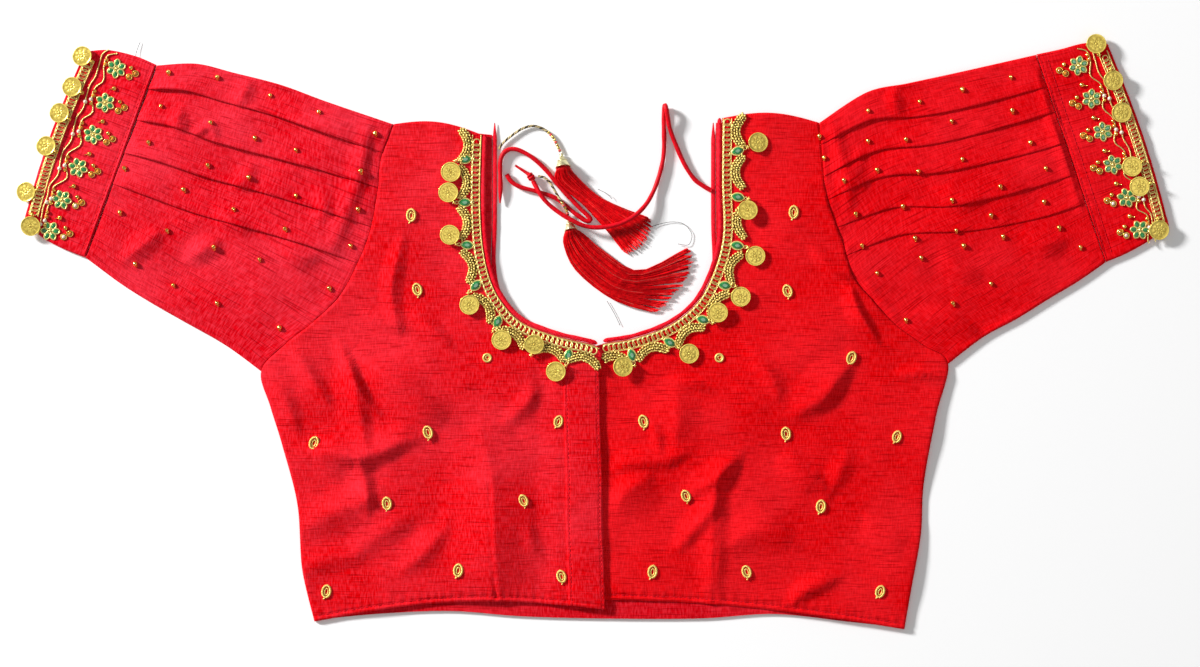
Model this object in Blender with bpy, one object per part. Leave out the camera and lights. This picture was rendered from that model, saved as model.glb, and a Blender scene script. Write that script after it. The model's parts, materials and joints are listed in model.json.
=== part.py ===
"""A choli blouse with coin charms, tie cords and tassels, laid flat with its front up.

Frame: metres, +Z up from the surface that it lies on, +Y from the hem to the neck, +X to the
right as one looks down at the front. "Left" and "right" mean as seen so. The origin is under
the centre front, on the flat underside. All tables and sizes here are in millimetres.
"""

import math
from collections import namedtuple

import bmesh
import bpy
from mathutils import Matrix, Vector

MM = 0.001

# Cloth
WALL = 1.2
GAP = 0.3
UNDER_FRONT = WALL + GAP  # the fronts lie on the back panel
FRONT_TOP = UNDER_FRONT + WALL
PLACKET_WALL = 1.0
PLACKET_WIDTH = 24.0
BINDING_WIDTH = 3.0
BINDING_HEIGHT = 2.2

# Neck and cuff trims
CHAIN_WIDTH = 6.0
CHAIN_HEIGHT = 0.9
CHAIN_FROM_SEAM = 3.4  # from the neck seam to the chain's middle line
SCALLOP_CHORD = 24.0
SCALLOP_BOW = 5.0
SCALLOP_WIDTH = 8.4
SCALLOP_HEIGHT = 1.8
SCALLOP_FROM_SEAM = 9.5
CENTRE_CLEAR = 3.2  # the trims and bindings stop this far from the centre front
STONE_LENGTH = 9.2
STONE_WIDTH = 5.4
STONE_HEIGHT = 2.3
STONE_FROM_SEAM = 10.4
CUFF_CHAIN_FROM_EDGE = 5.2
FLOWER_RADIUS = 6.3
FLOWER_WAIST = 4.2
FLOWER_HEIGHT = 1.0

# Coin charms
COIN_RADIUS = 6.5
COIN_WALL = 0.9
COIN_REACH = 7.6  # from the hinge to the coin's middle
RING_RADIUS = 1.25
RING_WIRE = 0.32
HINGE_HEIGHT = 3.15  # above the cloth that the fixed ring stands on
STONE_TO_HINGE = 7.1
FOOT_WIDTH = 3.2

# Ties and tassels
DORI_DIAMETER = 3.0
STRING_DIAMETER = 1.8
KNOT_RADIUS = 2.4
CAP_TIP_RADIUS = 1.0
STRAND_COLUMNS = 9
STRAND_LAYERS = 3

Row = namedtuple("Row", "outer_x outer_y inner_x inner_y")
Fold = namedtuple("Fold", "from_x from_y to_x to_y width height")
Span = namedtuple("Span", "bottom_x bottom_y top_x top_y")
Pleat = namedtuple("Pleat", "at_armhole at_cuff height")
Charm = namedtuple("Charm", "along loop_turn coin_turn")
Hanger = namedtuple("Hanger", "x y turn")
Blossom = namedtuple("Blossom", "x y")
Cap = namedtuple("Cap", "tip_x tip_y tip_z base_x base_y base_z base_radius")
Bundle = namedtuple("Bundle", "left_x left_y right_x right_y low step size")

UNDERARM_ROW = 5  # the row of each front's table where the side seam ends and the armhole starts

LEFT_ROWS = (
    Row(-191, -90, 1, -82),
    Row(-199, -55, 0, -50),
    Row(-202, -13, -1, -10),
    Row(-212, 26, -2, 25),
    Row(-220, 52, -3, 55),
    Row(-226, 75, -3, 78),
    Row(-211, 92, -3, 90.5),
    Row(-191, 108, -31, 98.3),
    Row(-174, 125, -54, 107.5),
    Row(-162, 147, -68, 122),
    Row(-154, 168, -76, 139.5),
    Row(-149, 195, -80.3, 164),
    Row(-147, 215, -81.3, 195),
    Row(-139, 238, -80.3, 231),
)
RIGHT_ROWS = (
    Row(198, -95, -22, -75),
    Row(203, -66, -22, -45),
    Row(209, -32, -22, -10),
    Row(211, 2, -22, 25),
    Row(219, 46, -22, 52),
    Row(227, 80, -22, 72),
    Row(211, 92, -8, 90.5),
    Row(191, 107, 20, 96.8),
    Row(176, 123, 44, 106),
    Row(164, 138, 62, 121),
    Row(157, 161, 73, 143),
    Row(147, 189, 78.3, 166),
    Row(144, 216, 77.6, 200),
    Row(142, 239, 78, 242),
)
LEFT_HEM_BOW, RIGHT_HEM_BOW = 9.0, 5.0
SHOULDER_BOW = 5.0
LEFT_FOLDS = (
    Fold(-193, 12, -124, 30, 9, 3.4),
    Fold(-158, 34, -156, -16, 10, 2.6),
    Fold(-202, -14, -168, 2, 10, 2.4),
    Fold(-162, 145, -136, 104, 11, 2.2),
    Fold(-184, 104, -148, 66, 11, 2.0),
    Fold(-176, -40, -134, -22, 14, 2.0),
    Fold(-92, 10, -74, -62, 13, 1.6),
    Fold(-120, 78, -66, 40, 15, 1.5),
)
RIGHT_FOLDS = (
    Fold(157, 70, 124, 46, 10, 2.8),
    Fold(140, 4, 118, 24, 9, 2.2),
    Fold(50, -6, 92, 18, 11, 2.4),
    Fold(48, -38, 76, -16, 11, 2.0),
    Fold(18, 62, 42, 28, 12, 1.8),
    Fold(8, -18, 30, 6, 11, 1.6),
    Fold(150, -52, 172, -14, 15, 1.8),
    Fold(176, 88, 150, 118, 12, 2.0),
)
BACK_NECK_HALF = ((0, 86), (30, 90), (56, 103), (70, 124), (74.5, 145), (73.9, 175), (73.9, 239))
BACK_HEM = ((-190.5, -89), (-150, -85), (-102, -83), (-55, -86.5), (-1, -88), (63, -88), (112, -85), (160, -90),
            (197, -94))

LEFT_SLEEVE = (
    Span(-226, 75, -139, 238),
    Span(-250, 92.5, -183, 253),
    Span(-279, 109, -213, 264),
    Span(-300, 121, -244, 272),
    Span(-319, 133, -269, 278),
    Span(-341.7, 149.9, -294.7, 276.8),
)
RIGHT_SLEEVE = (
    Span(227, 80, 142, 239),
    Span(250, 97.5, 173, 259),
    Span(272, 109.5, 200, 265),
    Span(293, 122.5, 228, 271),
    Span(313, 134.5, 257, 277.5),
    Span(330.7, 146.8, 284.8, 283.8),
)
LEFT_PLEATS = (
    Pleat(0.504, 0.373, 1.6),
    Pleat(0.637, 0.530, 1.7),
    Pleat(0.765, 0.705, 1.8),
    Pleat(0.890, 0.860, 1.6),
)
RIGHT_PLEATS = (
    Pleat(0.530, 0.270, 1.4),
    Pleat(0.640, 0.420, 1.6),
    Pleat(0.735, 0.575, 1.8),
    Pleat(0.825, 0.720, 1.8),
    Pleat(0.915, 0.855, 1.6),
)
LEFT_CUFF = (
    Span(-342.1, 150.1, -295.2, 277.2),
    Span(-358, 156.5, -309, 283),
    Span(-372, 164.5, -327, 287),
    Span(-382, 176, -342, 286),
)
RIGHT_CUFF = (
    Span(331.1, 147.1, 285.2, 284.1),
    Span(345, 153, 301, 287.5),
    Span(360, 161.5, 317, 291.5),
    Span(372.5, 171, 332, 291),
)
CUFF_EDGE_BOW = -3.0

# Scallops and coin charms stand at distances along the neck seam from the centre front
LEFT_SCALLOPS = (8, 30, 54, 76, 101, 128, 154, 178)
RIGHT_SCALLOPS = (12, 37, 61, 83, 107, 134, 167, 194)
LEFT_CHARMS = (
    Charm(169, -170, -110),
    Charm(141, 180, 120),
    Charm(114, 175, 125),
    Charm(89, -135, -85),
    Charm(65, -115, -45),
    Charm(42, -100, 75),
    Charm(19, -105, -150),
)
RIGHT_CHARMS = (
    Charm(25, -75, -175),
    Charm(49, -30, -30),
    Charm(72, -15, 65),
    Charm(95, -5, -65),
    Charm(120, -10, -50),
    Charm(150, -10, -95),
    Charm(181, 20, 25),
)
LEFT_HANGERS = (
    Hanger(-337.3, 279.0, 150),
    Hanger(-343.9, 258.7, 150),
    Hanger(-352.4, 241.2, 147),
    Hanger(-361.0, 219.8, 150),
    Hanger(-373.6, 194.6, 190),
    Hanger(-376.6, 178.2, 262),
)
RIGHT_HANGERS = (
    Hanger(326.0, 283.6, 103),
    Hanger(333.4, 274.0, 285),
    Hanger(340.6, 253.1, 272),
    Hanger(354.6, 213.2, 205),
    Hanger(359.9, 199.0, 197),
    Hanger(364.6, 175.6, 278),
)
LEFT_BLOSSOMS = (
    Blossom(-321.4, 274.6),
    Blossom(-328.7, 252.1),
    Blossom(-336.6, 231.0),
    Blossom(-346.5, 209.2),
    Blossom(-357.1, 188.1),
    Blossom(-365.0, 167.6),
)
RIGHT_BLOSSOMS = (
    Blossom(312.8, 276.5),
    Blossom(321.4, 254.8),
    Blossom(328.7, 233.0),
    Blossom(335.3, 211.2),
    Blossom(344.5, 189.4),
    Blossom(353.1, 168.3),
)

# Routes of the free cords: x, y, z
DORI_RIGHT_ROUTE = (
    (69.4, 195.0, 1.8), (64.5, 197.9, 1.8), (59.4, 202.0, 1.8), (53.4, 211.0, 1.8), (48.2, 222.4, 1.8),
    (43.6, 234.5, 2.8), (41.9, 243.0, 4.6), (41.0, 248.0, 5.2), (40.2, 250.4, 3.6), (39.6, 248.0, 1.9),
    (39.4, 241.0, 1.8), (39.6, 232.0, 1.8), (39.6, 222.0, 1.8), (38.6, 213.0, 1.8), (36.2, 203.4, 1.8),
    (32.8, 194.2, 2.2), (27.9, 185.4, 4.0), (21.0, 178.2, 5.6), (12.5, 173.2, 6.0), (4.0, 170.6, 6.2),
    (-4.0, 169.8, 5.8), (-10.0, 170.2, 5.6), (-16.0, 172.0, 6.0), (-21.6, 174.8, 6.0), (-27.4, 178.2, 5.2),
    (-33.0, 182.2, 4.4), (-38.3, 187.0, 5.0), (-42.2, 192.2, 5.2), (-44.9, 197.0, 4.0), (-46.6, 200.2, 3.0),
)
DORI_LEFT_ROUTE = (
    (-68.6, 186.0, 1.8), (-68.2, 195.0, 1.8), (-68.3, 204.0, 1.8), (-68.4, 212.5, 1.8), (-66.3, 218.8, 1.8),
    (-61.5, 221.6, 1.8), (-55.5, 220.7, 1.8), (-46.9, 215.8, 1.8), (-38.6, 208.2, 1.8), (-33.8, 202.3, 1.8),
    (-28.6, 196.2, 1.8), (-22.0, 189.0, 1.8), (-15.5, 182.2, 1.8), (-10.6, 177.6, 1.8), (-8.9, 174.6, 1.8),
    (-12.0, 174.3, 1.8), (-17.0, 177.6, 1.8), (-21.6, 181.2, 1.8), (-26.6, 185.4, 1.8), (-32.5, 189.6, 1.8),
    (-45.5, 194.0, 1.8), (-54.5, 196.4, 1.8), (-60.6, 199.8, 1.8), (-64.2, 205.0, 1.8),
)
STRING_1_ROUTE = (
    (-69.3, 221.6, 1.3), (-66.4, 225.9, 1.3), (-60.0, 231.2, 1.3), (-53.5, 235.3, 1.3), (-46.9, 236.9, 1.3),
    (-40.5, 235.2, 1.3), (-35.0, 231.0, 1.3), (-31.4, 225.4, 1.3), (-28.9, 219.8, 1.3),
)
STRING_2_ROUTE = (
    (-43.4, 203.6, 2.6), (-39.8, 203.0, 2.6), (-36.4, 200.4, 2.9), (-33.8, 196.6, 3.6), (-31.0, 191.6, 4.7),
    (-27.6, 186.2, 4.9), (-25.0, 181.6, 3.4), (-23.6, 178.0, 1.8),
)
KNOT_ROUTE = ((-46.8, 200.6, 2.9), (-48.2, 203.4, 2.8), (-49.6, 204.8, 2.7), (-51.2, 206.0, 2.2),
              (-54.8, 208.4, 1.9), (-58.6, 210.9, 1.8))
KNOT_RADII = (0.9, KNOT_RADIUS, KNOT_RADIUS, 1.3, 1.3, 1.2)
CAPS = (
    Cap(-28.2, 218.3, 1.5, -26.9, 209.2, 4.9, 4.8),
    Cap(-23.2, 176.2, 1.4, -21.7, 167.8, 4.4, 4.1),
)
# Each tassel's edges and heights at its root, its neck, twice along it and at its tips
BUNDLES = (
    (
        Bundle(-29.5, 206.9, -23.8, 207.7, 4.1, 1.50, 0.20),
        Bundle(-29.4, 201.0, -20.2, 203.0, 2.2, 1.50, 0.34),
        Bundle(-15.4, 186.4, -4.4, 191.0, 0.9, 1.40, 0.50),
        Bundle(2.6, 167.0, 13.2, 182.4, 0.9, 1.20, 0.52),
        Bundle(12.6, 153.0, 29.8, 176.4, 0.8, 1.00, 0.34),
    ),
    (
        Bundle(-23.9, 165.4, -18.9, 166.3, 3.8, 1.35, 0.18),
        Bundle(-25.2, 159.4, -13.6, 164.6, 1.8, 1.45, 0.36),
        Bundle(-18.6, 141.6, 1.0, 153.6, 0.9, 1.60, 0.58),
        Bundle(4.0, 123.4, 23.6, 141.4, 0.9, 1.40, 0.56),
        Bundle(31.2, 112.6, 54.6, 156.8, 0.8, 1.10, 0.36),
    ),
)
TIP_BULGE = (5.0, 9.0)
HEAD_RADII = (3.9, 3.5)

Side = namedtuple("Side", "name sign rows hem_bow folds sleeve pleats cuff scallops charms hangers blossoms")
LEFT = Side("left", -1, LEFT_ROWS, LEFT_HEM_BOW, LEFT_FOLDS, LEFT_SLEEVE, LEFT_PLEATS, LEFT_CUFF,
            LEFT_SCALLOPS, LEFT_CHARMS, LEFT_HANGERS, LEFT_BLOSSOMS)
RIGHT = Side("right", 1, RIGHT_ROWS, RIGHT_HEM_BOW, RIGHT_FOLDS, RIGHT_SLEEVE, RIGHT_PLEATS, RIGHT_CUFF,
             RIGHT_SCALLOPS, RIGHT_CHARMS, RIGHT_HANGERS, RIGHT_BLOSSOMS)


# ---------------------------------------------------------------- curves and tables

def spline(values, at):
    """The value at a place along evenly spaced values, on a smooth curve through them all."""
    last = len(values) - 1
    start = max(0, min(int(at), last - 1))
    t = at - start
    before, first, second, after = (values[max(0, min(last, start + step))] for step in (-1, 0, 1, 2))
    return 0.5 * (2 * first + (second - before) * t + (2 * before - 5 * first + 4 * second - after) * t * t
                  + (3 * first - before - 3 * second + after) * t ** 3)


def table_at(rows, fraction):
    """The row at a fraction of the way down a table, each column on its own smooth curve."""
    at = fraction * (len(rows) - 1)
    return tuple(spline(column, at) for column in zip(*rows))


def even_path(rows, count, start=0.0, end=1.0):
    """Evenly spaced points along the smooth curve through a table of points, or along a part of it."""
    fine = [Vector(table_at(rows, start + (end - start) * step / 400)) for step in range(401)]
    lengths = [0.0]
    for one, other in zip(fine, fine[1:]):
        lengths.append(lengths[-1] + (other - one).length)
    path, at = [], 0
    for step in range(count):
        wanted = lengths[-1] * step / (count - 1)
        while at < len(fine) - 2 and lengths[at + 1] < wanted:
            at += 1
        share = (wanted - lengths[at]) / (lengths[at + 1] - lengths[at])
        path.append(fine[at].lerp(fine[at + 1], min(1.0, share)))
    return path


def directions(path):
    """The unit direction of travel at each point of a path."""
    ends = len(path) - 1
    return [(path[min(ends, i + 1)] - path[max(0, i - 1)]).normalized() for i in range(len(path))]


def beside(path, distance):
    """A flat path moved sideways, to the left of its travel where the distance is positive."""
    return [point + Vector((-way.y, way.x)) * distance for point, way in zip(path, directions(path))]


def ease(value):
    """0 below 0, 1 above 1, and smooth between."""
    value = max(0.0, min(1.0, value))
    return value * value * (3 - 2 * value)


def ramp(value, start, end):
    """How far a value has come from start to end, from 0 to 1."""
    return max(0.0, min(1.0, (value - start) / (end - start)))


# ---------------------------------------------------------------- objects

def start_afresh():
    """Removes everything in the scene."""
    for thing in list(bpy.data.objects):
        bpy.data.objects.remove(thing, do_unlink=True)


def collection(name):
    """A new collection in the scene."""
    made = bpy.data.collections.new(name)
    bpy.context.scene.collection.children.link(made)
    return made


def finish(name, colour, roughness, metallic=0.0):
    """A plain material."""
    made = bpy.data.materials.new(name)
    made.use_nodes = True
    shader = made.node_tree.nodes["Principled BSDF"]
    shader.inputs["Base Color"].default_value = (*colour, 1.0)
    shader.inputs["Roughness"].default_value = roughness
    shader.inputs["Metallic"].default_value = metallic
    return made


def place(name, mesh, material, where):
    """An object of a mesh, in a collection."""
    thing = bpy.data.objects.new(name, mesh)
    if material and not mesh.materials:
        mesh.materials.append(material)
    where.objects.link(thing)
    return thing


def place_curve(name, line, material, where):
    """An object of a curve, in a collection."""
    line.materials.append(material)
    thing = bpy.data.objects.new(name, line)
    where.objects.link(thing)
    return thing


def mesh_from(name, solid):
    """A mesh from a bmesh, with its faces pointing out."""
    bmesh.ops.recalc_face_normals(solid, faces=solid.faces)
    mesh = bpy.data.meshes.new(name)
    solid.to_mesh(mesh)
    solid.free()
    return mesh


def grid(columns, rows, point):
    """A grid whose points are moved to point(u, v), in millimetres, with u and v from 0 to 1."""
    sheet = bmesh.new()
    bmesh.ops.create_grid(sheet, x_segments=columns, y_segments=rows, size=0.5)
    for vertex in sheet.verts:
        u = round((vertex.co.x + 0.5) * columns) / columns
        v = round((vertex.co.y + 0.5) * rows) / rows
        vertex.co = Vector(point(u, v)) * MM
    return sheet


def loft(name, rings, looped=False):
    """A closed solid through rings of points. A looped one joins its last ring to its first."""
    rings = list(rings) + ([rings[0]] if looped else [])
    around, along = len(rings[0]), len(rings) - 1
    solid = grid(along, around, lambda u, v: rings[round(u * along)][round(v * around) % around])
    bmesh.ops.remove_doubles(solid, verts=solid.verts, dist=1e-6)
    bmesh.ops.holes_fill(solid, edges=[edge for edge in solid.edges if edge.is_boundary])
    return mesh_from(name, solid)


def panel(name, columns, rows, point, wall):
    """A cloth wall: a grid of its lower points, thickened upward."""
    sheet = grid(columns, rows, point)
    raised = bmesh.ops.extrude_face_region(sheet, geom=sheet.faces[:])["geom"]
    bmesh.ops.translate(sheet, vec=Vector((0, 0, wall * MM)),
                        verts=[piece for piece in raised if isinstance(piece, bmesh.types.BMVert)])
    return mesh_from(name, sheet)


def tube(name, route, diameter, spacing, material, where):
    """A round cord along a smooth route."""
    length = sum((Vector(b) - Vector(a)).length for a, b in zip(route, route[1:]))
    path = even_path(route, round(length / spacing) + 1)
    line = bpy.data.curves.new(name, "CURVE")
    line.dimensions = "3D"
    line.bevel_depth = diameter / 2 * MM
    line.bevel_resolution = 2
    line.use_fill_caps = True
    run = line.splines.new("POLY")
    run.points.add(len(path) - 1)
    for spot, point in zip(run.points, path):
        spot.co = (*(point * MM), 1.0)
    place_curve(name, line, material, where)


def fuse(thing, pieces, guides):
    """Joins closed pieces onto an object, as one body."""
    joined = bpy.data.collections.new(thing.name + "_pieces")
    guides.children.link(joined)
    for number, mesh in enumerate(pieces):
        piece = place(f"{thing.name}_piece_{number}", mesh, None, joined)
        piece.hide_render = True
        piece.display_type = "WIRE"
    union = thing.modifiers.new("Joined", "BOOLEAN")
    union.operation = "UNION"
    union.operand_type = "COLLECTION"
    union.collection = joined
    union.solver = "EXACT"


def round_ring(name, turn, middle):
    """A small wire ring round the Y axis, then turned and moved."""
    sides, section = 6, 3
    rings = []
    for step in range(sides):
        angle = 2 * math.pi * step / sides
        ring = []
        for corner in range(section):
            around = 2 * math.pi * corner / section
            reach = RING_RADIUS + RING_WIRE * math.cos(around)
            ring.append((reach * math.cos(angle), RING_WIRE * math.sin(around), reach * math.sin(angle)))
        rings.append(ring)
    mesh = loft(name, rings, looped=True)
    mesh.transform(Matrix.Translation(Vector(middle) * MM) @ turn)
    return mesh


def prism(name, outline, low, high):
    """An upright solid on a flat outline."""
    return loft(name, [[(x, y, z) for x, y in outline] for z in (low, high)])


# ---------------------------------------------------------------- the cloth's surface

def neck_seam(side, count=40):
    """The seam of a front's neck edge, from the centre front to the shoulder."""
    points = [(row.inner_x, row.inner_y) for row in side.rows]
    return even_path(points, count, (UNDERARM_ROW + 1) / (len(points) - 1))


def neck_rows(side):
    """The points of a front's neck edge where the front's own rows end."""
    points = [(row.inner_x, row.inner_y) for row in side.rows]
    last = 2 * (len(points) - 1)
    return [Vector(table_at(points, step / last)) for step in range(2 * (UNDERARM_ROW + 1), last + 1)]


def clear_of_centre(side, path):
    """A path from the centre front to the shoulder, cut off where it is clear of the centre."""
    for place_in, (one, other) in enumerate(zip(path, path[1:])):
        near, far = one.x * side.sign, other.x * side.sign
        if far > CENTRE_CLEAR:
            return [one.lerp(other, max(0.0, (CENTRE_CLEAR - near) / (far - near)))] + path[place_in + 1:]
    return []


def relief(side, seam, x, y):
    """How far the folds lift a front. It lies flat at the neck trim and at the centre front."""
    lift = 0.0
    for fold in side.folds:
        start, end = Vector((fold.from_x, fold.from_y)), Vector((fold.to_x, fold.to_y))
        run = end - start
        offset = Vector((x, y)) - start
        along = offset.dot(run) / run.length_squared
        across = abs(offset.cross(run)) / run.length
        reach = ease((along + 0.3) / 0.5) * ease((1.3 - along) / 0.5)
        lift += fold.height * reach * math.exp(-(across / fold.width) ** 2)
    near = min((Vector((x, y)) - point).length for point in seam)
    centre = ease((x - 12) / 14) if side is RIGHT else ease((-44 - x) / 14)
    return lift * centre * ease((near - 30) / 18)


def overlap_lift(x):
    """The left front rises over the right front's edge at the centre."""
    return UNDER_FRONT * ramp(x, -44, -31)


def top_of(side, seam, x, y):
    """The height of a front's upper face."""
    rise = overlap_lift(x) if side is LEFT else 0.0
    return FRONT_TOP + rise + relief(side, seam, x, y)


def trim_seat(side, seam, x, y):
    """The height that the trim stands on: the front, or the placket on it."""
    if side is RIGHT:
        return top_of(side, seam, x, y)
    early = UNDER_FRONT * ramp(x, -50, -38) + (PLACKET_WALL + GAP) * ramp(x, -36, -26)
    return FRONT_TOP + early + relief(side, seam, x, y)


# ---------------------------------------------------------------- cloth pieces

FRONT_COLUMNS = (0, 0.08, 0.18, 0.28, 0.38, 0.48, 0.58, 0.68, 0.78, 0.86, 1)


def front(side):
    """A front panel, ruled between its side edge and its centre front and neck edge."""
    seam = neck_seam(side)
    columns = len(FRONT_COLUMNS) - 1
    rows = 2 * (len(side.rows) - 1)

    def point(u, v):
        across = FRONT_COLUMNS[round(u * columns)]
        outer_x, outer_y, inner_x, inner_y = table_at(side.rows, v)
        x = outer_x + (inner_x - outer_x) * across
        y = outer_y + (inner_y - outer_y) * across
        bow = math.sin(math.pi * across)
        y += bow * (side.hem_bow * (1 - v) ** 6 + SHOULDER_BOW * v ** 12)
        return x, y, top_of(side, seam, x, y) - WALL

    return panel(f"front_{side.name}", columns, rows, point, WALL)


def outer_edge(side, start, end, count):
    """Points on a front's outer edge between two rows of its table."""
    last = len(side.rows) - 1
    edge = []
    for step in range(count):
        at = start + (end - start) * step / (count - 1)
        outer_x, outer_y, _, _ = table_at(side.rows, at / last)
        edge.append(Vector((outer_x, outer_y)))
    return edge


def back_neck(count):
    """The back panel's neck seam, from the right shoulder round to the left one."""
    half = [(x, y) for x, y in BACK_NECK_HALF]
    whole = half[:0:-1] + [(-x, y) for x, y in half]
    return even_path(whole, count)


def back():
    """The back panel, a flat outline of one wall's thickness."""
    last = len(LEFT_ROWS) - 1
    outline = outer_edge(RIGHT, 0, last, 27)
    outline[-1] += Vector((0, 0.3))
    outline += back_neck(45)
    outline += reversed(outer_edge(LEFT, 0, last, 27))
    outline += even_path(BACK_HEM, 15)[1:-1]
    line = bpy.data.curves.new("back_panel", "CURVE")
    line.dimensions = "2D"
    line.fill_mode = "BOTH"
    line.extrude = WALL / 2 * MM
    run = line.splines.new("POLY")
    run.points.add(len(outline) - 1)
    for spot, point in zip(run.points, outline):
        spot.co = (point.x * MM, point.y * MM, 0, 1)
    run.use_cyclic_u = True
    return line


def placket():
    """The strip along the centre front's edge, made from the left front's points moved out."""
    rows = 14
    seam = neck_seam(LEFT)
    top_row = UNDERARM_ROW + 1

    def point(u, v):
        _, _, edge_x, edge_y = table_at(LEFT.rows, v * top_row / (len(LEFT.rows) - 1))
        x = edge_x - PLACKET_WIDTH * (1 - u)
        y = edge_y + 3.0 * (1 - u) * (1 - v) - 0.5 * v
        return x, y, top_of(LEFT, seam, x, y) + GAP

    return panel("placket", 3, rows, point, PLACKET_WALL)


def strip(name, path, width, seats, height, crown=0.0):
    """A low bar along a flat path, standing on the given heights, with an optional crown."""
    rings = []
    for point, way, seat in zip(path, directions(path), seats):
        side = Vector((-way.y, way.x)) * width / 2
        low, high = seat + GAP, seat + GAP + height
        one, other = point + side, point - side
        ring = [(*one, low), (*other, low), (*other, high), (*one, high)]
        if crown:
            ring.insert(3, (*point, high + crown))
        rings.append(ring)
    return loft(name, rings)


def neck_binding(side):
    """The rolled binding of a front's neck edge, beside the seam."""
    seam = neck_seam(side)
    path = clear_of_centre(side, beside(neck_rows(side), side.sign * (BINDING_WIDTH / 2 + GAP)))
    seats = [trim_seat(side, seam, point.x, point.y) - WALL - GAP for point in path]
    return strip(f"neck_binding_{side.name}", path, BINDING_WIDTH, seats, BINDING_HEIGHT - 0.5, 0.5)


def back_neck_binding():
    """The binding of the back's neck edge. It lies under the fronts, so it is as low as the back."""
    path = beside(back_neck(45), -(BINDING_WIDTH / 2 + GAP))
    return strip("back_neck_binding", path, BINDING_WIDTH, [-GAP] * len(path), WALL)


def tube_wall(name, spans, pleats, joint_edge, rows):
    """A flattened cloth tube, open at both ends, with pleats raised on its upper face."""
    edge_step, inset, next_inset = 1.8, 1.8, 4.2
    high, low = 1, -1
    under_steps = 8 if pleats else 4

    def stations(s):
        """Places round the tube, from the bottom edge up the front and back down behind."""
        bottom_x, bottom_y, top_x, top_y = table_at(spans, s)
        width = math.hypot(top_x - bottom_x, top_y - bottom_y)
        margin, edge, next_edge = edge_step / width, inset / width, next_inset / width
        made = [(0.0, edge, 0, 0.0), (margin, next_edge, high, 0.0)]
        lines = [pleat.at_armhole + (pleat.at_cuff - pleat.at_armhole) * s for pleat in pleats]
        plain = [share * (lines[0] if lines else 1.0) for share in (0.12, 0.25, 0.5, 0.75)[0 if lines else 1:]]
        made += [(t, t, high, 0.0) for t in plain]
        for pleat, line, after in zip(pleats, lines, lines[1:] + [0.985]):
            lip = 0.5 / width
            made.append((line - lip, line - lip, high, 0.0))
            made.append((line + lip, line + lip, high, pleat.height))
            made.append(((line + after) / 2, (line + after) / 2, high, 0.55 * pleat.height))
        made += [(1 - margin, 1 - next_edge, high, 0.0), (1.0, 1 - edge, 0, 0.0)]
        made.append((1 - margin, 1 - next_edge, low, 0.0))
        made += [(step / under_steps, step / under_steps, low, 0.0) for step in range(under_steps - 1, 0, -1)]
        if pleats:
            made.append((0.06, 0.06, low, 0.0))
        made.append((margin, next_edge, low, 0.0))
        return made

    def flat(s, t):
        bottom_x, bottom_y, top_x, top_y = table_at(spans, s)
        place_on = Vector((bottom_x, bottom_y)).lerp(Vector((top_x, top_y)), t)
        return place_on + joint_edge(s, max(0.0, min(1.0, t)))

    heights_out = {high: FRONT_TOP, low: 0.0, 0: FRONT_TOP / 2}
    heights_in = {high: UNDER_FRONT, low: WALL, 0: FRONT_TOP / 2}
    outside, inside = [], []
    for row in range(rows + 1):
        s = row / rows
        fade = ease(s / 0.12) * ease((1 - s) / 0.06)
        around = stations(s)
        raised = 0.45 + 0.55 * fade
        outside.append([(*flat(s, t), heights_out[face] + lift * raised) for t, _, face, lift in around])
        inside.append([(*flat(s, t), heights_in[face]) for _, t, face, _ in around])
    return loft(name, outside + inside[::-1], looped=True)


def sleeve(side):
    """A sleeve, from the armhole to the cuff seam."""
    last = len(side.rows) - 1
    first = side.sleeve[0]
    away = Vector((side.sign * 0.6, 0.14))  # opens the seam gap along the sleeve

    def joint_edge(s, t):
        outer_x, outer_y, _, _ = table_at(side.rows, (UNDERARM_ROW + t * (last - UNDERARM_ROW)) / last)
        straight = Vector((first.bottom_x, first.bottom_y)).lerp(Vector((first.top_x, first.top_y)), t)
        return (Vector((outer_x, outer_y)) - straight) * (1 - s) ** 2 + away * (1 - s)

    return tube_wall(f"sleeve_{side.name}", side.sleeve, side.pleats, joint_edge, 7)


def cuff(side):
    """A cuff, from its seam to its open edge."""
    def joint_edge(s, t):
        return Vector((-side.sign * CUFF_EDGE_BOW, 0)) * math.sin(math.pi * t) * s

    return tube_wall(f"cuff_{side.name}", side.cuff, (), joint_edge, 3)


# ---------------------------------------------------------------- trims

def at_distance(path, distance):
    """The point and the direction of travel at a distance along an even path."""
    length = sum((other - one).length for one, other in zip(path, path[1:]))
    at = distance / length * (len(path) - 1)
    low = min(int(at), len(path) - 2)
    return path[low].lerp(path[low + 1], at - low), (path[low + 1] - path[low]).normalized()


def outward(side, way):
    """The direction away from the neck opening, across a seam that runs from centre to shoulder."""
    return Vector((-way.y, way.x)) * -side.sign


def scallop(name, side, seam, along):
    """A crescent on the front, its round side to the chain and its tips turned away."""
    foot, way = at_distance(seam, along)
    out = outward(side, way)
    middle = foot + out * SCALLOP_FROM_SEAM
    path, widths = [], []
    for t in (-1, -0.7, -0.25, 0.25, 0.7, 1):
        point = middle + way * t * SCALLOP_CHORD / 2 + out * SCALLOP_BOW * t * t
        if point.x * side.sign > CENTRE_CLEAR:
            path.append(point)
            widths.append(SCALLOP_WIDTH * math.sqrt(max(0.05, 1 - (0.97 * t) ** 2)))
    rings = []
    for point, width in zip(path, widths):
        edge = out * width / 2
        seat = trim_seat(side, seam, point.x, point.y) + GAP
        high = seat + SCALLOP_HEIGHT * (0.6 + 0.4 * width / SCALLOP_WIDTH)
        rings.append([(*(point - edge), seat), (*(point + edge), seat), (*(point + edge * 0.7), high),
                      (*(point - edge * 0.7), high)])
    return loft(name, rings)


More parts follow.
